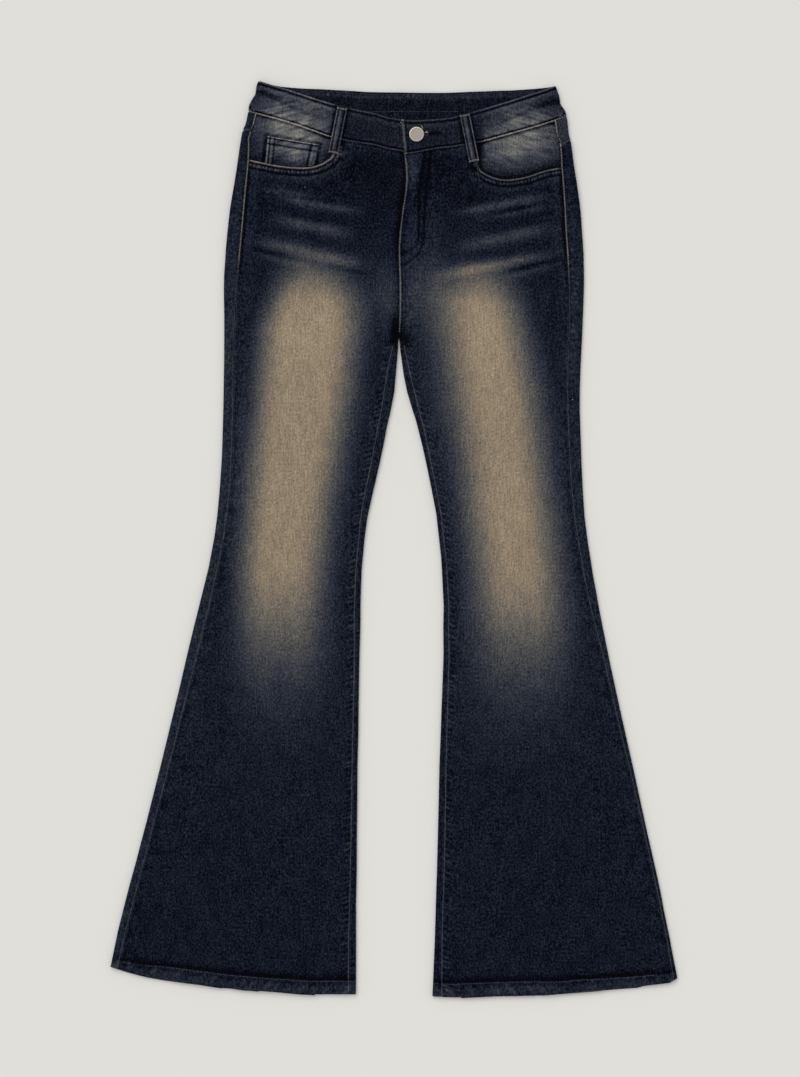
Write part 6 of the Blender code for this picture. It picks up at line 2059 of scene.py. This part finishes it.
def make_floor():
    """Plain pale floor."""
    bpy.ops.object.select_all(action="DESELECT")
    bpy.ops.mesh.primitive_plane_add(size=8.0, location=(0.0, 0.0, FLOOR_Z))
    bpy.ops.object.transform_apply(location=True)
    floor = bpy.context.object
    floor.name = "studio_floor"
    material = bpy.data.materials.new("studio_floor")
    material.use_nodes = True
    shader = material.node_tree.nodes["Principled BSDF"]
    shader.inputs["Base Color"].default_value = FLOOR_COLOR
    shader.inputs["Roughness"].default_value = 1.0
    shader.inputs["Specular IOR Level"].default_value = 0.0
    floor.data.materials.append(material)


def make_light():
    """Even sky light and one wide soft sun from the upper left."""
    world = bpy.data.worlds.new("studio")
    world.use_nodes = True
    background = world.node_tree.nodes["Background"]
    background.inputs["Color"].default_value = (1.0, 1.0, 1.0, 1.0)
    background.inputs["Strength"].default_value = SKY_SHARE
    bpy.context.scene.world = world
    sun = bpy.data.lights.new("soft_sun", "SUN")
    sun.energy = SUN_SHARE * math.pi / math.cos(SUN_TILT)
    sun.angle = SUN_ANGLE
    lamp = bpy.data.objects.new("soft_sun", sun)
    lamp.rotation_euler = (-SUN_TILT, 0.0, SUN_HEADING)
    lamp.location = (-1.0, 1.5, 2.0)
    bpy.context.collection.objects.link(lamp)


def make_camera():
    """Camera straight above the garment."""
    data = bpy.data.cameras.new("camera")
    data.sensor_fit = "VERTICAL"
    data.sensor_height = SENSOR
    data.lens = SENSOR * CAMERA_DISTANCE / CAMERA_HEIGHT_SEEN
    data.clip_start = 0.05
    data.clip_end = 50.0
    camera = bpy.data.objects.new("camera", data)
    camera.location = (PICTURE_CENTRE[0], PICTURE_CENTRE[1], CAMERA_DISTANCE)
    camera.rotation_euler = (0.0, 0.0, PICTURE_TURN)
    bpy.context.collection.objects.link(camera)
    bpy.context.scene.camera = camera


# ---- the flat cut of each piece: width, length and area of what shows, in metres --------------------
Cut = namedtuple("Cut", "width length area rests_on")
CUTS = {
    "front_leg_right": Cut(0.325, 0.986, 0.1880, ("back_leg_right",)),
    "front_leg_left": Cut(0.327, 0.983, 0.1850, ("back_leg_left",)),
    "back_leg_right": Cut(0.353, 0.993, 0.2215, ()),
    "back_leg_left": Cut(0.362, 0.986, 0.2220, ()),
    "back_yoke_right": Cut(0.203, 0.070, 0.0082, ()),
    "back_yoke_left": Cut(0.203, 0.069, 0.0089, ()),
    "pocket_facing_right": Cut(0.109, 0.070, 0.0055, ("back_yoke_right",)),
    "pocket_facing_left": Cut(0.105, 0.077, 0.0057, ("back_yoke_left",)),
    "coin_pocket": Cut(0.062, 0.035, 0.0017, ("pocket_facing_right",)),
    "back_pocket_right": Cut(0.116, 0.125, 0.0122, ()),
    "back_pocket_left": Cut(0.116, 0.125, 0.0122, ()),
    "waistband": Cut(0.037, 0.775, 0.0272, ()),
    "belt_loop_front_right": Cut(0.0118, 0.0545, None, ("waistband",)),
    "belt_loop_front_left": Cut(0.0118, 0.0560, None, ("waistband",)),
    "belt_loop_back_right": Cut(0.0118, 0.0430, None, ()),
    "belt_loop_back_middle": Cut(0.0118, 0.0415, None, ()),
    "belt_loop_back_left": Cut(0.0118, 0.0437, None, ()),
    "fly_shield": Cut(0.041, 0.121, None, ("back_leg_right",)),
    "fly_zip": Cut(0.024, 0.115, 0.0022, ("fly_shield",)),
}


# ---- putting it together ----------------------------------------------------------------------------
def dress(piece, node, material):
    """Give a cloth piece its finish, and let it stand for its node by hiding the node."""
    piece.data.materials.clear()
    piece.data.materials.append(material)
    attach(piece, "root")
    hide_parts(node)
    cut = CUTS[node]
    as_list(cut.rests_on)
    return piece


def finish_metal(piece, material):
    """Give a piece of hardware its finish."""
    piece.data.materials.clear()
    piece.data.materials.append(material)
    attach(piece, "root")


make_camera()
make_light()
make_floor()
bpy.context.scene.view_settings.view_transform = "Standard"

indigo = make_denim("washed_denim", INDIGO_DYES)
dark = make_denim("dark_denim", INDIGO_DYES)
faded = make_denim("faded_denim", WAIST_DYES)
waist = make_denim("waistband_denim", WAIST_DYES)
tape = make_denim("zip_tape", INDIGO_DYES)
metal = make_metal()
thread = make_thread()

cloth = []
for side, side_name in SIDES.items():
    cloth.append(dress(make_front(side), f"front_leg_{side_name}", indigo))
    cloth.append(dress(make_back(side), f"back_leg_{side_name}", dark))
    cloth.append(dress(make_yoke(side), f"back_yoke_{side_name}", dark))
    cloth.append(dress(make_facing(side), f"pocket_facing_{side_name}", faded))
    cloth.append(dress(make_back_pocket(side), f"back_pocket_{side_name}", dark))
cloth.append(dress(make_coin_pocket(), "coin_pocket", faded))
cloth.append(dress(make_waistband(), "waistband", waist))
front_loops = [dress(make_loop(node, *ends, True), node, faded)
               for node, ends in FRONT_LOOPS.items()]
back_loops = [dress(make_loop(node, *ends, False), node, dark)
              for node, ends in BACK_LOOPS.items()]

shield_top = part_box("fly_shield")[1].z
zip_tape_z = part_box("fly_zip")[0].z + ZIP_TAPE_WALL
dress(make_plate("fly_shield", CLOTH, shield_top), "fly_shield", dark)
dress(make_plate("fly_zip", ZIP_TAPE_WALL, zip_tape_z), "fly_zip", tape)
finish_metal(make_zip_teeth(zip_tape_z), metal)
finish_metal(make_zip_slider(zip_tape_z), metal)
button = make_button()
finish_metal(button, metal)
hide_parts("waist_button")

cloth_faces = faces_of(cloth)
sew_front(cloth_faces, faces_of(front_loops), thread)
sew_back(cloth_faces, faces_of(back_loops), thread)
